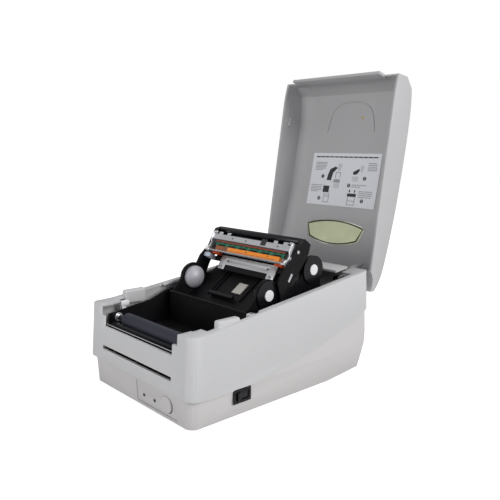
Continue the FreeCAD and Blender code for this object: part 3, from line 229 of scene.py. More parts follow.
def grain_group():
    tree, start, end = new_group("moulded_grain", [
        ("Vector", "NodeSocketVector", None), ("Grain scale", "NodeSocketFloat", 2600.0),
        ("Light tone", "NodeSocketColor", (0.8, 0.8, 0.8, 1)), ("Dark tone", "NodeSocketColor", (0.7, 0.7, 0.7, 1)),
        ("Smooth", "NodeSocketFloat", 0.4), ("Dull", "NodeSocketFloat", 0.6)],
        [("Colour", "NodeSocketColor"), ("Roughness", "NodeSocketFloat"), ("Height", "NodeSocketFloat")])
    vector = start.outputs["Vector"]
    fine = noise(tree, vector, start.outputs["Grain scale"], 3.0, "grain")
    slow = noise(tree, vector, 14.0, 3.0, "slow_tone")
    tone = spread(tree, slow, 0.0, 1.0)
    colour = blend_colours(tree, tone, start.outputs["Dark tone"], start.outputs["Light tone"])
    speck = spread(tree, fine, 0.0, 1.0)
    tree.links.new(blend_colours(tree, speck, colour, start.outputs["Light tone"]), end.inputs["Colour"])
    tree.links.new(spread(tree, slow, start.outputs["Dull"], start.outputs["Smooth"]), end.inputs["Roughness"])
    tree.links.new(fine, end.inputs["Height"])
    return tree


def brushed_group():
    tree, start, end = new_group("brushed_sheet", [
        ("Vector", "NodeSocketVector", None), ("Across", "NodeSocketFloat", 1800.0),
        ("Light tone", "NodeSocketColor", (0.8, 0.8, 0.8, 1)), ("Dark tone", "NodeSocketColor", (0.6, 0.6, 0.6, 1)),
        ("Smooth", "NodeSocketFloat", 0.25), ("Dull", "NodeSocketFloat", 0.45)],
        [("Colour", "NodeSocketColor"), ("Roughness", "NodeSocketFloat"), ("Height", "NodeSocketFloat")])
    stretch = tree.nodes.new("ShaderNodeVectorMath")
    stretch.operation = "MULTIPLY"
    stretch.inputs[1].default_value = (0.02, 1.0, 1.0)
    tree.links.new(start.outputs["Vector"], stretch.inputs[0])
    lines = noise(tree, stretch.outputs[0], start.outputs["Across"], 2.0, "brush_lines")
    patches = noise(tree, start.outputs["Vector"], 60.0, 2.0, "patches")
    tree.links.new(blend_colours(tree, spread(tree, lines, 0.0, 1.0), start.outputs["Dark tone"],
                                 start.outputs["Light tone"]), end.inputs["Colour"])
    tree.links.new(spread(tree, patches, start.outputs["Smooth"], start.outputs["Dull"]), end.inputs["Roughness"])
    tree.links.new(lines, end.inputs["Height"])
    return tree


def dust_group():
    tree, start, end = new_group("settled_dust", [
        ("Vector", "NodeSocketVector", None), ("Colour", "NodeSocketColor", (0.5, 0.5, 0.5, 1)),
        ("Dust tone", "NodeSocketColor", (0.6, 0.6, 0.58, 1)), ("Amount", "NodeSocketFloat", 0.1)],
        [("Colour", "NodeSocketColor"), ("Mask", "NodeSocketFloat")])
    geometry = tree.nodes.new("ShaderNodeNewGeometry")
    parts = tree.nodes.new("ShaderNodeSeparateXYZ")
    tree.links.new(geometry.outputs["Normal"], parts.inputs[0])
    upward = spread(tree, parts.outputs["Z"], 0.0, 1.0, 0.2, 0.95)
    cloud = spread(tree, noise(tree, start.outputs["Vector"], 45.0, 4.0, "dust_cloud"), 0.0, 1.0, 0.38, 0.72)
    both, scaled = (tree.nodes.new("ShaderNodeMath") for _ in range(2))
    both.operation = scaled.operation = "MULTIPLY"
    tree.links.new(upward, both.inputs[0])
    tree.links.new(cloud, both.inputs[1])
    tree.links.new(both.outputs[0], scaled.inputs[0])
    tree.links.new(start.outputs["Amount"], scaled.inputs[1])
    tree.links.new(blend_colours(tree, scaled.outputs[0], start.outputs["Colour"], start.outputs["Dust tone"]),
                   end.inputs["Colour"])
    tree.links.new(scaled.outputs[0], end.inputs["Mask"])
    return tree


GROUPS = {"grain": grain_group(), "brushed": brushed_group(), "dust": dust_group()}
print("node groups:", [group.name for group in GROUPS.values()])

# %% [markdown]
# A finish is a pair of close tones, a pair of roughnesses and a grain. Moulded plastic takes the grain
# group, metal takes the brushed one, and anything that lies open to the air gets a little dust as well.
# Object coordinates carry the patterns, in metres, so the grain has the same size on every part.


# %% Material maker
def tones(colour, change):
    light = tuple(min(1.0, value * (1 + change)) for value in colour) + (1,)
    dark = tuple(value * (1 - change) for value in colour) + (1,)
    return light, dark


def finish(name, colour, smooth, dull, effect="grain", scale=2600.0, change=0.03, relief=0.00004,
           dust=0.0, metallic=0.0, **fixed):
    """A node material: effect group, optional dust, bump, and fixed values on the shader's own sockets."""
    material = bpy.data.materials.new(name)
    material.use_nodes = True
    tree = material.node_tree
    shader = tree.nodes["Principled BSDF"]
    place = tree.nodes.new("ShaderNodeTexCoord")
    pattern = tree.nodes.new("ShaderNodeGroup")
    pattern.node_tree = GROUPS[effect]
    light, dark = tones(colour, change)
    values = {"Light tone": light, "Dark tone": dark, "Smooth": smooth, "Dull": dull,
              "Grain scale" if effect == "grain" else "Across": scale}
    for label, value in values.items():
        pattern.inputs[label].default_value = value
    tree.links.new(place.outputs["Object"], pattern.inputs["Vector"])
    shade = pattern.outputs["Colour"]
    if dust:
        layer = tree.nodes.new("ShaderNodeGroup")
        layer.node_tree = GROUPS["dust"]
        layer.inputs["Amount"].default_value = dust
        tree.links.new(place.outputs["Object"], layer.inputs["Vector"])
        tree.links.new(shade, layer.inputs["Colour"])
        shade = layer.outputs["Colour"]
    tree.links.new(shade, shader.inputs["Base Color"])
    tree.links.new(pattern.outputs["Roughness"], shader.inputs["Roughness"])
    bump = tree.nodes.new("ShaderNodeBump")
    bump.inputs["Strength"].default_value = 0.6
    bump.inputs["Distance"].default_value = relief
    tree.links.new(pattern.outputs["Height"], bump.inputs["Height"])
    tree.links.new(bump.outputs["Normal"], shader.inputs["Normal"])
    shader.inputs["Metallic"].default_value = metallic
    for label, value in fixed.items():
        shader.inputs[label.replace("_", " ")].default_value = value
    return material


def two_tone(material, split, colour, soft=0.0004):
    """Past a distance along X the base tone changes to another colour."""
    tree = material.node_tree
    shader = tree.nodes["Principled BSDF"]
    source = shader.inputs["Base Color"].links[0].from_socket
    place = [node for node in tree.nodes if node.type == "TEX_COORD"][0]
    parts = tree.nodes.new("ShaderNodeSeparateXYZ")
    tree.links.new(place.outputs["Object"], parts.inputs[0])
    edge = spread(tree, parts.outputs["X"], 1.0, 0.0, split - soft, split + soft)
    tree.links.new(blend_colours(tree, edge, source, colour + (1,)), shader.inputs["Base Color"])
    return material


MATERIALS = {
    "case_plastic": finish("case_plastic", (0.56, 0.56, 0.565), 0.42, 0.55, dust=0.05),
    "base_plastic": finish("base_plastic", (0.56, 0.545, 0.54), 0.45, 0.58, dust=0.04),
    "lid_plastic": finish("lid_plastic", (0.47, 0.465, 0.472), 0.40, 0.52, dust=0.04),
    "card": finish("card", (0.80, 0.81, 0.85), 0.5, 0.65, scale=900.0, change=0.012, relief=0.00001),
    "black_plastic": finish("black_plastic", (0.0028, 0.0028, 0.0036), 0.36, 0.52, scale=3000.0, change=0.12,
                            dust=0.006, Specular_IOR_Level=0.22),
    "black_gloss": finish("black_gloss", (0.004, 0.004, 0.0055), 0.2, 0.3, change=0.1, relief=0.00001,
                          Specular_IOR_Level=0.4),
    "bright_steel": finish("bright_steel", (0.74, 0.745, 0.76), 0.28, 0.42, "brushed", metallic=0.85),
    "warm_steel": finish("warm_steel", (0.56, 0.54, 0.49), 0.4, 0.55, "brushed", metallic=0.15),
    "steel_pin": finish("steel_pin", (0.62, 0.62, 0.64), 0.2, 0.32, "brushed", metallic=1.0),
    "platen_rubber": finish("platen_rubber", (0.016, 0.018, 0.032), 0.42, 0.58, scale=4000.0, change=0.1,
                            relief=0.00002),
    "white_plastic": finish("white_plastic", (0.80, 0.80, 0.81), 0.3, 0.42, change=0.02),
    "hub_grey": finish("hub_grey", (0.36, 0.36, 0.39), 0.48, 0.66, change=0.25, scale=900.0, metallic=0.2),
    "board_green": finish("board_green", (0.012, 0.15, 0.085), 0.22, 0.34, change=0.12, scale=1500.0),
    "head_gold": finish("head_gold", (0.92, 0.27, 0.012), 0.16, 0.28, change=0.05, relief=0.00001,
                        Coat_Weight=0.5, Coat_Roughness=0.08),
    "head_red": finish("head_red", (0.10, 0.045, 0.045), 0.3, 0.45, change=0.15),
    "head_alu": finish("head_alu", (0.6, 0.6, 0.62), 0.3, 0.45, "brushed", metallic=0.9),
    "tab_red": finish("tab_red", (0.62, 0.07, 0.015), 0.35, 0.5, change=0.06),
    "foot_rubber": finish("foot_rubber", (0.012, 0.012, 0.012), 0.7, 0.85, change=0.15, scale=1800.0),
    "gear_plastic": finish("gear_plastic", (0.62, 0.60, 0.53), 0.35, 0.5, change=0.04),
    "brass_bush": finish("brass_bush", (0.55, 0.38, 0.15), 0.3, 0.5, "brushed", metallic=1.0),
    "motor_can": finish("motor_can", (0.02, 0.02, 0.022), 0.3, 0.42, "brushed", metallic=0.4),
    "lamp": finish("lamp", (0.03, 0.07, 0.035), 0.15, 0.25, change=0.1, relief=0.00001),
    "connector": finish("connector", (0.012, 0.012, 0.013), 0.3, 0.42, change=0.12),
    "sensor_white": finish("sensor_white", (0.52, 0.58, 0.68), 0.3, 0.42, change=0.04),
    # Dark print on the card, and also painted shade in the screw recesses and bracket holes.
    "ink": finish("ink", (0.022, 0.022, 0.024), 0.45, 0.6, scale=900.0, change=0.2, relief=0.00001),
    "groove_grey": finish("groove_grey", (0.05, 0.045, 0.042), 0.6, 0.7, change=0.1, relief=0.00001),
    "grey_ink": finish("grey_ink", (0.33, 0.34, 0.36), 0.5, 0.62, scale=900.0, change=0.25, relief=0.00001),
    "pale_ink": finish("pale_ink", (0.6, 0.61, 0.64), 0.5, 0.62, scale=900.0, change=0.1, relief=0.00001),
    "window_rim": finish("window_rim", (0.025, 0.027, 0.016), 0.3, 0.45, change=0.1),
}
GLAZE_END = -0.034  # metres along X, where the bright part of the orange glaze begins
two_tone(MATERIALS["head_gold"], GLAZE_END, (0.30, 0.085, 0.02))
print("finishes:", len(MATERIALS))

# %% [markdown]
# The little window in the lid is olive glass. Clear plastic lets light through and a faint moulding
# ripple breaks up what is behind it, so it keeps a plain transmission of one and gets its ripple from a
# bump alone.


# %% Window material
def tinted_window():
    material = bpy.data.materials.new("window_tint")
    material.use_nodes = True
    tree = material.node_tree
    shader = tree.nodes["Principled BSDF"]
    place = tree.nodes.new("ShaderNodeTexCoord")
    factor = spread(tree, noise(tree, place.outputs["Object"], 35.0, 2.0, "cloudy"), 0.0, 1.0)
    colour = blend_colours(tree, factor, (0.283, 0.295, 0.197, 1), (0.336, 0.353, 0.238, 1))
    tree.links.new(colour, shader.inputs["Base Color"])
    bump = tree.nodes.new("ShaderNodeBump")
    bump.inputs["Distance"].default_value = 0.0001
    bump.inputs["Strength"].default_value = 0.3
    tree.links.new(noise(tree, place.outputs["Object"], 400.0, 2.0, "ripple"), bump.inputs["Height"])
    tree.links.new(bump.outputs["Normal"], shader.inputs["Normal"])
    shader.inputs["Roughness"].default_value = 0.22
    shader.inputs["IOR"].default_value = 1.3
    shader.inputs["Transmission Weight"].default_value = 1.0
    return material


MATERIALS["window_tint"] = tinted_window()

# %% [markdown]
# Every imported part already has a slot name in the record, and most finishes carry the same name. A few
# parts need another finish than their slot's, such as the warmer bare plate on the ribbon tray.

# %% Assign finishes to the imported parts
slot_of = {part["node"]: part["material_slot"] for part in frame["record"]["subparts"]}
SPECIAL = {"tray_plate": "warm_steel", "platen_bushes": "bright_steel", "module_top_bar": "black_gloss",
           "tear_bar": "black_gloss"}


def wear(thing, label):
    thing.data.materials.clear()
    thing.data.materials.append(MATERIALS[label])


for name, thing in nodes.items():
    wear(thing, SPECIAL.get(name, slot_of[name]))
print("slots in use:", len(set(slot_of.values())))

# %% [markdown]
# ## Moulded shells
# A moulding tool leaves no sharp edge, and the thin bright line on a softened edge is what makes plastic
# look moulded. Each big shell is copied, its triangles are merged into clean faces, and a small bevel
# runs along every edge that turns by more than a few tens of degrees.


# %% Soften the shells
def clean_copy(node, name):
    """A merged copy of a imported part, with flat areas joined into whole faces."""
    mesh = bmesh.new()
    mesh.from_mesh(nodes[node].data)
    bmesh.ops.remove_doubles(mesh, verts=mesh.verts, dist=2e-6)
    bmesh.ops.dissolve_limit(mesh, angle_limit=math.radians(0.6), verts=mesh.verts, edges=mesh.edges)
    data = bpy.data.meshes.new(name)
    mesh.to_mesh(data)
    mesh.free()
    return link_object(name, data)


def smooth_by_angle(data, degrees=32):
    for face in data.polygons:
        face.use_smooth = True
    data.set_sharp_from_angle(angle=math.radians(degrees))


def baked(thing):
    """The object with its modifiers applied, as a plain mesh."""
    bpy.context.view_layer.update()
    evaluated = thing.evaluated_get(bpy.context.evaluated_depsgraph_get())
    data = bpy.data.meshes.new_from_object(evaluated)
    data.name = thing.name
    thing.modifiers.clear()
    thing.data = data
    return thing


def add_bevel(thing, width, angle=38, segments=2):
    bevel = thing.modifiers.new("edge", "BEVEL")
    bevel.width, bevel.segments = width, segments
    bevel.limit_method, bevel.angle_limit = "ANGLE", math.radians(angle)
    bevel.use_clamp_overlap = True
    return thing


def soften(node, name, body, width, angle=38):
    shell = add_bevel(clean_copy(node, name), width, angle)
    baked(shell)
    smooth_by_angle(shell.data)
    wear(shell, SPECIAL.get(node, slot_of[node]))
    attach(shell, body)
    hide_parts(node)
    print(name, "faces:", len(shell.data.polygons))
    return shell


SOFTENED = (("upper_case", "upper_shell", "housing", 0.0007), ("lower_base", "base_tray", "housing", 0.0006),
            ("lid_shell", "lid_cover", "lid", 0.0006), ("module_top_bar", "head_top_bar", "carriage", 0.0009),
            ("release_lever", "lever_tab", "lever", 0.0004), ("power_rocker", "rocker_cap", "rocker", 0.0004),
            ("head_arm_left", "swing_arm_left", "carriage", 0.0005),
            ("head_arm_right", "swing_arm_right", "carriage", 0.0005),
            ("head_bracket", "head_side_bracket", "print_head", 0.0002),
            ("guide_plate", "ribbon_guide_sheet", "carriage", 0.0002),
            ("ribbon_sensor", "ribbon_eye", "carriage", 0.0005),
            ("switch_housing", "switch_bezel", "housing", 0.0004))
for node, name, body, width in SOFTENED:
    soften(node, name, body, width)

# %% [markdown]
# ## Makers for small fittings
# Most small fittings are one of three things: a block with rounded edges, a turned part, or a bent wire.
# Each gets a maker that writes straight into a mesh, with the edges already softened. The head carriage
# stands tilted, so its fittings are drawn in its own axes and one matrix carries them into place.


# %% Makers
PIVOT = Vector((0, -0.002, 0.0374))
TILT = math.radians(58.5)
CARRIAGE = Matrix.Translation(PIVOT) @ Matrix.Rotation(TILT, 4, "X")
UPRIGHT = Matrix.Identity(4)
LID_OPEN = math.radians(105.5)
HINGE = Vector((0, 0.1275, 0.1126))
LID = Matrix.Translation(HINGE) @ Matrix.Rotation(-LID_OPEN, 4, "X") @ Matrix.Translation(-HINGE)


def finish_mesh(mesh, name, place=UPRIGHT):
    """Write a bmesh out as an object whose place is in its mesh."""
    bmesh.ops.transform(mesh, matrix=Matrix.Scale(MM, 4), verts=mesh.verts)
    bmesh.ops.transform(mesh, matrix=place, verts=mesh.verts)
    bmesh.ops.recalc_face_normals(mesh, faces=mesh.faces)
    data = bpy.data.meshes.new(name)
    mesh.to_mesh(data)
    mesh.free()
    smooth_by_angle(data)
    return link_object(name, data)


def block_into(mesh, x, y, z, radius=0.3, turn=None):
    """Add a block between pairs of millimetres, with rounded edges."""
    made = bmesh.ops.create_cube(mesh, size=1.0)["verts"]
    size = Vector((x[1] - x[0], y[1] - y[0], z[1] - z[0]))
    middle = Vector((x[0] + x[1], y[0] + y[1], z[0] + z[1])) / 2
    for vertex in made:
        vertex.co = Vector(a * b for a, b in zip(vertex.co, size))
    edges = list({edge for vertex in made for edge in vertex.link_edges})
    radius = min(radius, 0.45 * min(size))
    grown = bmesh.ops.bevel(mesh, geom=edges, offset=radius, segments=2, affect="EDGES", profile=0.5)
    made = list(set(grown["verts"]) | {vertex for vertex in made if vertex.is_valid})
    place = Matrix.Translation(middle) @ (turn or Matrix.Identity(4))
    bmesh.ops.transform(mesh, matrix=place, verts=made)
    return made


def turned_into(mesh, profile, centre, sides=32, axis="X"):
    """Turn a profile of (distance along, radius) pairs about an axis through a centre."""
    rings = []
    for along, radius in profile:
        ring = []
        for step in range(sides):
            angle = 2 * math.pi * step / sides
            spot = Vector((along, radius * math.cos(angle), radius * math.sin(angle)))
            if axis == "Y":
                spot = Vector((spot.y, spot.x, spot.z))
            elif axis == "Z":
                spot = Vector((spot.y, spot.z, spot.x))
            ring.append(mesh.verts.new(spot + Vector(centre)))
        rings.append(ring)
    for first, second in zip(rings, rings[1:]):
        for step in range(sides):
            following = (step + 1) % sides
            mesh.faces.new((first[step], first[following], second[following], second[step]))
    mesh.faces.new(rings[0][::-1])
    mesh.faces.new(rings[-1])
    return rings


def wire_into(mesh, points, radius, sides=10):
    """A round wire along a smooth path through points."""
    curve = bpy.data.curves.new("path", "CURVE")
    curve.dimensions = "3D"
    spline = curve.splines.new("NURBS")
    spline.points.add(len(points) - 1)
    for point, spot in zip(spline.points, points):
        point.co = Vector(spot).to_4d()
    spline.order_u, spline.use_endpoint_u = 3, True
    curve.bevel_depth, curve.bevel_resolution, curve.resolution_u = radius, sides // 4, 6
    curve.use_fill_caps = True
    carrier = link_object("path", curve)
    bpy.context.view_layer.update()
    data = bpy.data.meshes.new_from_object(carrier.evaluated_get(bpy.context.evaluated_depsgraph_get()))
    mesh.from_mesh(data)
    bpy.data.objects.remove(carrier)
    bpy.data.meshes.remove(data)


def surface_of(node):
    """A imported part's surface, for dropping points onto it."""
    mesh = bmesh.new()
    mesh.from_mesh(nodes[node].data)
    surface = BVHTree.FromBMesh(mesh)
    mesh.free()
    return surface


def mount(thing, body, slot, label=None, *replaced):
    """Give a finished piece its material, from the label or else the slot, and its body; hide the parts it
    replaces.
    """
    wear(thing, label or slot)
    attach(thing, body)
    if replaced:
        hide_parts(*replaced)
    return thing


# %% [markdown]
# ## Ribbon hubs
# Each ribbon roll sits between a sprung grey dome on the left and a black disc on the right whose white
# cap shows at the end. The dome is plain and frosted, and the caps have two moulded rings with short rays
# between them. The rays repeat round an axis, so they are instances.


# %% Geometry Nodes: copies round an axis or along a line
def copies_tree():
    """Instances of a shape on the points of the input mesh, with size and turn as inputs."""
    tree = bpy.data.node_groups.new("copies_on_points", "GeometryNodeTree")
    for label, kind in (("Geometry", "NodeSocketGeometry"), ("Shape", "NodeSocketObject"),
                        ("Size", "NodeSocketFloat"), ("Turn each", "NodeSocketVector"),
                        ("Loose turn", "NodeSocketFloat"), ("Finish", "NodeSocketMaterial")):
        tree.interface.new_socket(name=label, in_out="INPUT", socket_type=kind)
    tree.interface.new_socket(name="Geometry", in_out="OUTPUT", socket_type="NodeSocketGeometry")
    start, end = tree.nodes.new("NodeGroupInput"), tree.nodes.new("NodeGroupOutput")
    shape = tree.nodes.new("GeometryNodeObjectInfo")
    place = tree.nodes.new("GeometryNodeInstanceOnPoints")
    index = tree.nodes.new("GeometryNodeInputIndex")
    turn = tree.nodes.new("ShaderNodeVectorMath")
    turn.operation = "SCALE"
    jitter = tree.nodes.new("FunctionNodeRandomValue")
    jitter.data_type = "FLOAT"
    jitter.inputs["Seed"].default_value = 7
    loose = tree.nodes.new("ShaderNodeCombineXYZ")
    swing = tree.nodes.new("ShaderNodeMath")
    swing.operation = "MULTIPLY"
    total = tree.nodes.new("ShaderNodeVectorMath")
    total.operation = "ADD"
    real = tree.nodes.new("GeometryNodeRealizeInstances")
    paint = tree.nodes.new("GeometryNodeSetMaterial")
    link = tree.links.new
    link(start.outputs["Shape"], shape.inputs["Object"])
    link(start.outputs["Geometry"], place.inputs["Points"])
    link(shape.outputs["Geometry"], place.inputs["Instance"])
    link(start.outputs["Turn each"], turn.inputs[0])
    link(index.outputs[0], turn.inputs["Scale"])
    link([item for item in jitter.outputs if item.type == "VALUE"][0], swing.inputs[0])
    link(start.outputs["Loose turn"], swing.inputs[1])
    link(swing.outputs[0], loose.inputs["Z"])
    link(turn.outputs[0], total.inputs[0])
    link(loose.outputs[0], total.inputs[1])
    link(total.outputs[0], place.inputs["Rotation"])
    link(start.outputs["Size"], place.inputs["Scale"])
    link(place.outputs[0], real.inputs[0])
    link(real.outputs[0], paint.inputs["Geometry"])
    link(start.outputs["Finish"], paint.inputs["Material"])
    link(paint.outputs[0], end.inputs[0])
    return tree


COPIES = copies_tree()


def copies(name, shape, points, label, place=UPRIGHT, turn=(0, 0, 0), loose=0.0, size=1.0):
    """Instances of a shape at points in millimetres, as one plain mesh carried by a place matrix."""
    spots = bpy.data.meshes.new(name)
    spots.from_pydata([Vector(point) for point in points], [], [])
    thing = link_object(name, spots)
    modifier = thing.modifiers.new("copies", "NODES")
    modifier.node_group = COPIES
    sockets = {item.name: item.identifier for item in COPIES.interface.items_tree if item.in_out == "INPUT"}
    for key, value in (("Shape", shape), ("Size", size), ("Turn each", turn), ("Loose turn", loose),
                       ("Finish", MATERIALS[label])):
        modifier[sockets[key]] = value
    baked(thing)
    thing.data.transform(place @ Matrix.Scale(MM, 4))
    smooth_by_angle(thing.data)
    bpy.data.objects.remove(shape)
    return thing


def shape_object(mesh, name):
    """A bmesh as a hidden-away shape for instancing, still in millimetres."""
    bmesh.ops.recalc_face_normals(mesh, faces=mesh.faces)
    data = bpy.data.meshes.new(name)
    mesh.to_mesh(data)
    mesh.free()
    return link_object(name, data)


# %% Caps and their rays
def middle_of(node):
    low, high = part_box(node)
    return (low + high) / 2 / MM


def cap_marks(node, body, name):
    low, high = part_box(node)
    centre = middle_of(node)
    face = high.x / MM
    mesh = bmesh.new()
    for radius in (5.2, 2.1):
        profile = [(face - 0.3, radius - 0.35), (face - 0.03, radius - 0.25), (face - 0.03, radius + 0.25),
                   (face - 0.3, radius + 0.35)]
        ring_into(mesh, profile, centre)
    thing = finish_mesh(mesh, name)
    mount(thing, body, "white_plastic", "grey_ink")
    ray = bmesh.new()
    block_into(ray, (face - 0.35 - centre.x, face - 0.02 - centre.x), (2.6, 4.6), (-0.22, 0.22), 0.08)
    rays = copies(name + "_rays", shape_object(ray, "ray"), [centre] * 6, "grey_ink",
                  turn=(2 * math.pi / 6, 0, 0))
    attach(rays, body)
    return thing


def ring_into(mesh, profile, centre, sides=40):
    """A closed ring: the profile's last point joins its first."""
    rings = []
    for along, radius in profile:
        rings.append([mesh.verts.new((along, centre[1] + radius * math.cos(2 * math.pi * step / sides),
                                      centre[2] + radius * math.sin(2 * math.pi * step / sides)))
                      for step in range(sides)])
    for number in range(len(rings)):
        first, second = rings[number], rings[(number + 1) % len(rings)]
        for step in range(sides):
            following = (step + 1) % sides
            mesh.faces.new((first[step], first[following], second[following], second[step]))


cap_marks("rewind_cap", "rewind_right", "rewind_cap_marks")
cap_marks("supply_cap", "supply_right", "supply_cap_marks")
print("cap marks placed")

# %% [markdown]
# ## Print head
# The head carries a green board with driver chips under black lacquer, gold pads between them, and the
# glazed orange strip with its thin line of heating dots. The board is tiny, but it is the one colourful
# spot of the machine. Chips, pads and heater dots repeat along the head at even steps, so they are
# instances along a line in the carriage's own axes.


# %% Board details
def along_head(count, half, p, q):
    step = 2 * half / (count - 1)
    return [(-half + step * number, p, q) for number in range(count)]


def head_row(name, x, p, q, radius, count, half, label, body="print_head"):
    shape = bmesh.new()
    block_into(shape, x, p, q, radius)
    row = copies(name, shape_object(shape, "unit"), along_head(count, half, 0, 0), label, CARRIAGE)
    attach(row, body)
    return row


chips = bmesh.new()
block_into(chips, (-6, 6), (111.0, 112.8), (40.62, 42.0), 0.35)
chip_row = copies("driver_chips", shape_object(chips, "chip"), along_head(6, 50, 0, 0), "black_gloss", CARRIAGE)
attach(chip_row, "print_head")
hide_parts("head_driver_covers")
head_row("board_pads", (-0.5, 0.5), (113.6, 114.6), (40.5, 40.8), 0.1, 5, 40, "brass_bush")
head_row("board_parts", (-1.1, 1.1), (114.9, 115.7), (40.5, 41.3), 0.15, 12, 55, "black_gloss")
head_row("heater_line", (-0.4, 0.4), (105.6, 106.1), (42.8, 42.98), 0.05, 100, 51, "head_red")
head_row("glaze_dots", (-0.8, 0.8), (107.6, 109.0), (42.8, 43.05), 0.1, 3, 38, "ink")
eye = bmesh.new()
turned_into(eye, [(42.6, 1.0), (43.1, 1.0), (43.3, 0.6)], (-32, 108.2, 0), 20, "Z")
mount(finish_mesh(eye, "strip_eye", CARRIAGE), "print_head", "steel_pin")
red_line = bmesh.new()
block_into(red_line, (-61, 61), (116.3, 117.0), (41.5, 41.9), 0.15)
mount(finish_mesh(red_line, "red_edge", CARRIAGE), "print_head", "head_red", "tab_red")

# %% [markdown]
# The bright bracket over the board has punched holes, and small claws and a stud at each end. Dark discs
# and a dark square a hair above the sheet are painted shade that reads as the holes at this size.


# %% Bracket details
holes = bmesh.new()
for x in (-33, 47, -8):
    turned_into(holes, [(43.0, 1.1), (43.26, 1.1)], (x, 122.5, 0), 20, "Z")
block_into(holes, (18, 27), (120.5, 129.0), (43.0, 43.3), 0.1)
# The dark discs and square are painted shade standing in for the bracket's holes.
mount(finish_mesh(holes, "bracket_holes", CARRIAGE), "print_head", "black_gloss", "ink")
claws = bmesh.new()
for side in (-1, 1):
    x = (side * 70.0, side * 64.5)
    block_into(claws, (min(x), max(x)), (127.0, 129.8), (43.4, 45.0), 0.5)
    block_into(claws, (min(x), max(x)), (100.6, 103.0), (45.2, 46.6), 0.5)
    turned_into(claws, [(side * 70.9, 2.9), (side * 72.2, 2.9), (side * 72.6, 2.5)], (0, 111.5, 38.0), 24)
mount(finish_mesh(claws, "bracket_claws", CARRIAGE), "print_head", "bright_steel")
print("print head dressed")

# %% [markdown]
# ## Screws
# The guide plate and the base are held by cross-recessed screws. One screw head is turned with a domed
# top, the shade in its cross recess is painted as two dark bars laid over each other in it, and the set is
# placed by the same tree of copies. Each cross has its own seeded turn, because no one lines screws up.


# %% Screw heads
def screw_shape(radius, height):
    """A domed head, lying on Z = 0."""
    mesh = bmesh.new()
    turned_into(mesh, [(0, radius), (0.45 * height, radius), (0.8 * height, 0.82 * radius),
                       (height, 0.5 * radius)], (0, 0, 0), 24, "Z")
    return shape_object(mesh, "screw_head")


def cross_shape(radius, height):
    mesh = bmesh.new()
    for angle in (0, math.pi / 2):
        block_into(mesh, (-0.62 * radius, 0.62 * radius), (-0.14 * radius, 0.14 * radius),
                   (0.8 * height, 1.03 * height), 0.02, Matrix.Rotation(angle, 4, "Z"))
    return shape_object(mesh, "screw_cross")


def screws(name, radius, height, points, place, body, *replaced):
    heads = copies(name, screw_shape(radius, height), points, "steel_pin", place)
    # The dark bars are painted shade standing in for the cross recess of each head.
    marks = copies(name + "_crosses", cross_shape(radius, height), points, "ink", place, loose=3.0)
    for thing in (heads, marks):
        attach(thing, body)
    if replaced:
        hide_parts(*replaced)


screws("plate_screws", 1.9, 1.4, [(-44, 86.5, 32.2), (44, 86.5, 32.2)], CARRIAGE, "carriage", "guide_plate_screws")
FLIP = Matrix.Rotation(math.pi, 4, "X")
screws("base_screws", 3.2, 0.9, [(x, -y, -1.6) for x in (-84, 84) for y in (-95, 0, 50)], FLIP, "housing",
       "case_screws")
print("screws placed")

# %% [markdown]
# ## Roller ends and tear edge
# At the left end of the tear-off notch the roller's bearing shows as a bright ring, and the dark tear bar
# has one bright edge. The edge is a wire, drawn as a round section along a path.

# %% Roller ends and tear edge
ROLLER_AXIS = (0, -115, 78)
bright = bmesh.new()
ring_into(bright, [(-58.2, 4.0), (-57.2, 4.0), (-57.2, 7.2), (-58.2, 7.2)], ROLLER_AXIS)
mount(finish_mesh(bright, "roller_ring"), "platen", "steel_pin")
caps = bmesh.new()
for side in (-1, 1):
    turned_into(caps, [(side * 55.9, 8.2), (side * 56.6, 8.2), (side * 57.0, 7.4)], ROLLER_AXIS, 40)
mount(finish_mesh(caps, "roller_ends"), "platen", "platen_rubber")
edge = bmesh.new()
bar_low, bar_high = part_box("tear_bar")
EDGE_INSET = 0.6
wire_into(edge, [(x, bar_low.y / MM + 0.5, bar_high.z / MM - 0.45)
                 for x in (bar_low.x / MM + EDGE_INSET, bar_high.x / MM - EDGE_INSET)], 0.4)
mount(finish_mesh(edge, "tear_edge"), "housing", "steel_pin", "bright_steel")
print("tear bar", [round(v / MM, 1) for v in (*bar_low, *bar_high)])

# %% [markdown]
# The lamps and the button sit in a panel marked off by two grooves in the base's front. The shade at the
# floor of each groove is painted: a thin dark line lies along each, dropped onto the front face.


# %% Panel grooves and their painted shade
front_surface = surface_of("lower_base")


def onto_front(x, z):
    hit = front_surface.ray_cast(Vector((x, -200, z)) * MM, Vector((0, 1, 0)))[0]
    return Vector((x, hit.y / MM - 0.05, z))


grooves = bmesh.new()
wire_into(grooves, [onto_front(-1.1, z) for z in (6, 12, 18, 24, 28.6)], 0.5)
wire_into(grooves, [onto_front(x, 5.3) for x in (-1.1, 15, 30, 45, 60, 70)], 0.42)
# The thin dark lines are painted shade along the floor of each groove.
mount(finish_mesh(grooves, "panel_grooves"), "housing", "case_plastic", "groove_grey")
print("grooves laid")

# %% [markdown]
# ## Tray fittings
# The black tray between the ribbon plates carries a loose black roller with a bright plate above it, a
# pair of shallow ribs, and at its right the partition ends in a small case-coloured clip with a screw.

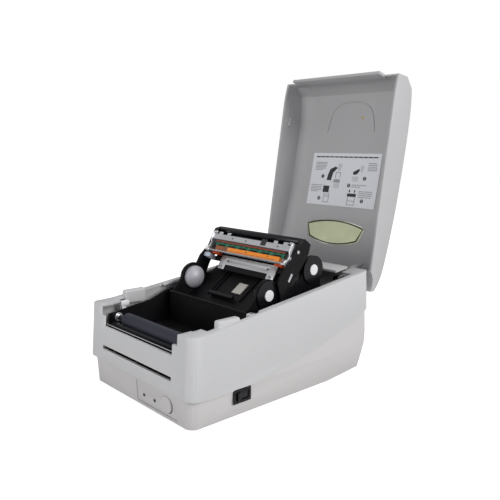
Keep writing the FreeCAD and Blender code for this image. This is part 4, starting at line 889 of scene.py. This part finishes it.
# %% Tray roller, ribs and clip
TRAY_SLOPE = math.atan2(49, 72.2)
tray = bmesh.new()
turned_into(tray, [(-30, 2.2), (-29.4, 2.9), (12.4, 2.9), (13, 2.2)], (0, -13.5, 101.6), 28)
turned_into(tray, [(12.9, 1.4), (13.5, 1.4), (13.7, 1.0)], (0, -13.5, 101.6), 16)
mount(finish_mesh(tray, "tray_roller"), "housing", "black_plastic", "black_gloss")
ribs = bmesh.new()
for x in (-36, -30, 22):
    block_into(ribs, (x - 0.8, x + 0.8), (-22, 22), (-0.4, 1.2), 0.4)
slope = Matrix.Translation(Vector((0, 0.006, 0.1110))) @ Matrix.Rotation(TRAY_SLOPE * 0.998, 4, "X")
mount(finish_mesh(ribs, "tray_ribs", slope), "housing", "black_plastic")
clip = bmesh.new()
block_into(clip, (77.3, 84.0), (-50.5, -43.5), (100.9, 103.0), 0.5)
block_into(clip, (77.3, 84.0), (-51.3, -49.9), (93, 102.6), 0.5)
mount(finish_mesh(clip, "partition_clip"), "housing", "case_plastic")
clip_hole = bmesh.new()
turned_into(clip_hole, [(102.8, 1.5), (103.15, 1.5)], (80.6, -46.6, 0), 20, "Z")
mount(finish_mesh(clip_hole, "clip_screw"), "housing", "black_gloss", "ink")
print("tray slope", round(math.degrees(TRAY_SLOPE), 1))

# %% [markdown]
# ## Inside the lid
# The card inside the lid shows five numbered steps. All of it is drawn here as plain bars, discs, boxes
# and the digits one to five. The card is bent with the roof, so each flat shape is cut into short strips,
# and every point is dropped onto the card's surface with a ray, then given a hair of thickness.

# %% Drop shapes onto the card
card_surface = surface_of("instruction_sheet")
LID_AWAY = (LID.to_3x3() @ Vector((0, 0, 1))).normalized()


def lid_point(x, y, z):
    """A point of the closed lid, in millimetres, where it stands with the lid open."""
    return LID @ (Vector((x, y, z)) * MM)


def onto_card(x, y, lift):
    hit = card_surface.ray_cast(lid_point(x, y, 60), LID_AWAY)[0]
    return hit - LID_AWAY * lift * MM


def drop_on_card(mesh, name, label, start, thickness):
    """Thicken flat shapes, drop them onto the card and write them out as one piece."""
    grown = bmesh.ops.extrude_face_region(mesh, geom=mesh.faces[:])
    for item in grown["geom"]:
        if isinstance(item, bmesh.types.BMVert):
            item.co.z = 1.0
    for vertex in mesh.verts:
        vertex.co = onto_card(vertex.co.x, vertex.co.y, start + vertex.co.z * thickness)
    bmesh.ops.recalc_face_normals(mesh, faces=mesh.faces)
    data = bpy.data.meshes.new(name)
    mesh.to_mesh(data)
    mesh.free()
    return mount(link_object(name, data), "lid", "card", label)


def card_shapes(name, outlines, label, thickness=0.12):
    """Closed thin slabs from outlines in card millimetres, cut into strips so that they bend."""
    mesh = bmesh.new()
    for outline in outlines:
        mesh.faces.new([mesh.verts.new((x, y, 0)) for x, y in outline])
    for cut in range(-50, 26, 5):
        bmesh.ops.bisect_plane(mesh, geom=mesh.verts[:] + mesh.edges[:] + mesh.faces[:], dist=1e-5,
                               plane_co=(0, cut, 0), plane_no=(0, 1, 0))
    return drop_on_card(mesh, name, label, 0.02, thickness)


def bar(x, y, width, height):
    return [(x, y), (x + width, y), (x + width, y + height), (x, y + height)]


def disc(x, y, radius, sides=20):
    return [(x + radius * math.cos(2 * math.pi * step / sides), y + radius * math.sin(2 * math.pi * step / sides))
            for step in range(sides)]


def text_lines(x, y, widths, pitch=1.9, height=1.05):
    return [bar(x, y + pitch * number, width, height) for number, width in enumerate(widths)]


# Card millimetres: X across, Y towards the hinge side of the closed lid; the front of the lid is negative.
HEADER_Y = -45.5
STEPS = {"1": (-37, -16.5), "2": (37, -15.5), "3": (12, -5), "4": (-38, 15.5), "5": (38, 15.5)}
dark_shapes = [bar(-54 + 8.4 * number, HEADER_Y, 7.4, 1.7) for number in range(13)]
dark_shapes += [disc(x, y, 2.7) for x, y in STEPS.values()]
dark_shapes += [[(-29, -11), (-21, -11), (-19, -22), (-12, -29), (-16, -31), (-25, -27), (-28, -18)],
                bar(-33, -3, 11, 9.5), bar(12, 6, 15, 4.5), bar(14, 1, 2, 3.4), bar(23, 1, 2, 3.4)]
dark_shapes += [[(16, -24), (26, -29), (27, -26), (23, -21), (17, -20)]]
grey_shapes = text_lines(-53, -37, (21, 20, 21, 19, 20, 14), 2.1) + text_lines(40, -37, (14, 15, 14, 16, 15), 2.4)
grey_shapes += text_lines(17, -6.5, (25, 15), 2.6) + text_lines(-56, -4, (20, 19, 20, 20, 13), 2.3)
grey_shapes += text_lines(31, 2, (22, 23, 22, 21), 2.6)
grey_shapes += [bar(-16, -13, 11, 5), bar(-14, -23, 9, 1.0), bar(-14, -23, 1.0, 8), bar(-6, -23, 1.0, 8)]
grey_shapes += [bar(-30, 7, 1.0, 14), bar(-21, 7, 1.0, 14), bar(-30, 20, 10, 1.0), bar(-30, 12, 10, 0.8)]
grey_shapes += [bar(13, 11, 1.0, 11), bar(25, 11, 1.0, 11), bar(13, 21.5, 13, 1.0), bar(14, 16, 11, 0.8)]
pale_shapes = [bar(-24, -10, 13, 0.8), bar(16, -18, 10, 7), bar(-15, -7, 10, 7), bar(-29, 8.5, 8, 3),
               [(-11, -36), (-3, -34), (-8, -24), (-12, -27)], [(28, -34), (35, -32), (31, -23), (28, -25)]]
card_shapes("card_dark_print", dark_shapes, "ink")
card_shapes("card_grey_print", grey_shapes, "grey_ink")
card_shapes("card_pale_print", pale_shapes, "pale_ink", 0.08)
print("card shapes:", len(dark_shapes) + len(grey_shapes) + len(pale_shapes))


# %% Digits on the card
def digit_outline(text, x, y, height):
    """A digit's flat mesh, moved to card millimetres; the card reads upright when the lid is open."""
    curve = bpy.data.curves.new("digit", "FONT")
    curve.body, curve.size = text, height / 0.7
    curve.align_x, curve.align_y = "CENTER", "CENTER"
    carrier = link_object("digit", curve)
    bpy.context.view_layer.update()
    data = bpy.data.meshes.new_from_object(carrier.evaluated_get(bpy.context.evaluated_depsgraph_get()))
    flat = [[Vector((x + data.vertices[index].co.x, y - data.vertices[index].co.y, 0)) for index in face.vertices]
            for face in data.polygons]
    bpy.data.objects.remove(carrier)
    bpy.data.meshes.remove(data)
    return flat


def card_digits():
    mesh = bmesh.new()
    for text, (x, y) in STEPS.items():
        for corners in digit_outline(text, x, y, 2.9):
            mesh.faces.new([mesh.verts.new(corner) for corner in corners])
    bmesh.ops.remove_doubles(mesh, verts=mesh.verts, dist=1e-4)
    return drop_on_card(mesh, "card_digits", "card", 0.12, 0.1)


card_digits()

# %% [markdown]
# Above the card the roof carries a raised arch, where a handle is moulded from outside, with one brown
# screw. They follow the roof, so they are dropped on the lid's inner surface in the same way as the print.

# %% Lines on the lid's inner wall
lid_surface = surface_of("lid_shell")


def onto_roof(x, y, lift):
    hit = lid_surface.ray_cast(lid_point(x, y, 105), LID_AWAY)[0]
    return (hit - LID_AWAY * lift * MM) / MM


ARCH_FRONT = -18
arch_path = [(x, y + ARCH_FRONT) for x, y in ((-41, -62), (-38, -80), (-31, -95), (-18, -101.5), (0, -103),
                                              (18, -101.5), (31, -95), (38, -80), (41, -62))]
arch = bmesh.new()
wire_into(arch, [onto_roof(x, y, 0.25) for x, y in arch_path], 0.8)
mount(finish_mesh(arch, "lid_arch"), "lid", "lid_plastic")
roof_screw = bmesh.new()
spot = onto_roof(19, -81 + ARCH_FRONT, 0.3)
turned_into(roof_screw, [(-1.2, 2.0), (0.0, 2.0), (0.4, 1.2)], (0, 0, 0), 20, "Y")
bmesh.ops.transform(roof_screw, matrix=Matrix.Translation(spot) @ Matrix.Rotation(math.radians(191), 4, "X"),
                    verts=roof_screw.verts)
mount(finish_mesh(roof_screw, "lid_screw"), "lid", "brass_bush")
print("arch points:", len(arch_path))

# %% [markdown]
# The window sits in a dark olive seat. A thin band round its edge, following the same outline, gives the
# dark border that the real window shows.


# %% Window seat
def window_outline(grow, samples=14):
    """The window's outline in closed-lid millimetres: arch, leaning sides and belly, with round corners."""
    half, front, back = 51.7 + grow, 44.7 - grow, 80.0 + grow
    points = []
    for step in range(samples + 1):
        share = -1 + 2 * step / samples
        points.append((half * share * 0.975, front + 7.3 * share * share))
    for step in range(samples + 1):
        share = 1 - 2 * step / samples
        points.append(((half - 7) * share * 0.965, back - 7.5 * share * share))
    return points


def onto_pane(x, y, lift):
    """A point on the pane's inner face; past its rounded corners the nearest point on it."""
    hit = window_surface.ray_cast(lid_point(x, y, 60), LID_AWAY)[0]
    if hit is None:
        hit = window_surface.find_nearest(lid_point(x, y, 140))[0]
    return (hit - LID_AWAY * lift * MM) / MM


def window_band():
    mesh = bmesh.new()
    outer, inner_line = window_outline(-0.6), window_outline(-2.3)
    rings = []
    for line, lift in ((outer, 1.0), (inner_line, 1.0), (inner_line, 0.2), (outer, 0.2)):
        ring = []
        for x, y in line:
            ring.append(mesh.verts.new(onto_pane(x, y, lift)))
        rings.append(ring)
    for number in range(4):
        first, second = rings[number], rings[(number + 1) % 4]
        for step in range(len(first)):
            following = (step + 1) % len(first)
            mesh.faces.new((first[step], first[following], second[following], second[step]))
    return mount(finish_mesh(mesh, "window_band"), "lid", "window_tint", "window_rim")


window_surface = surface_of("lid_window")
window_band()
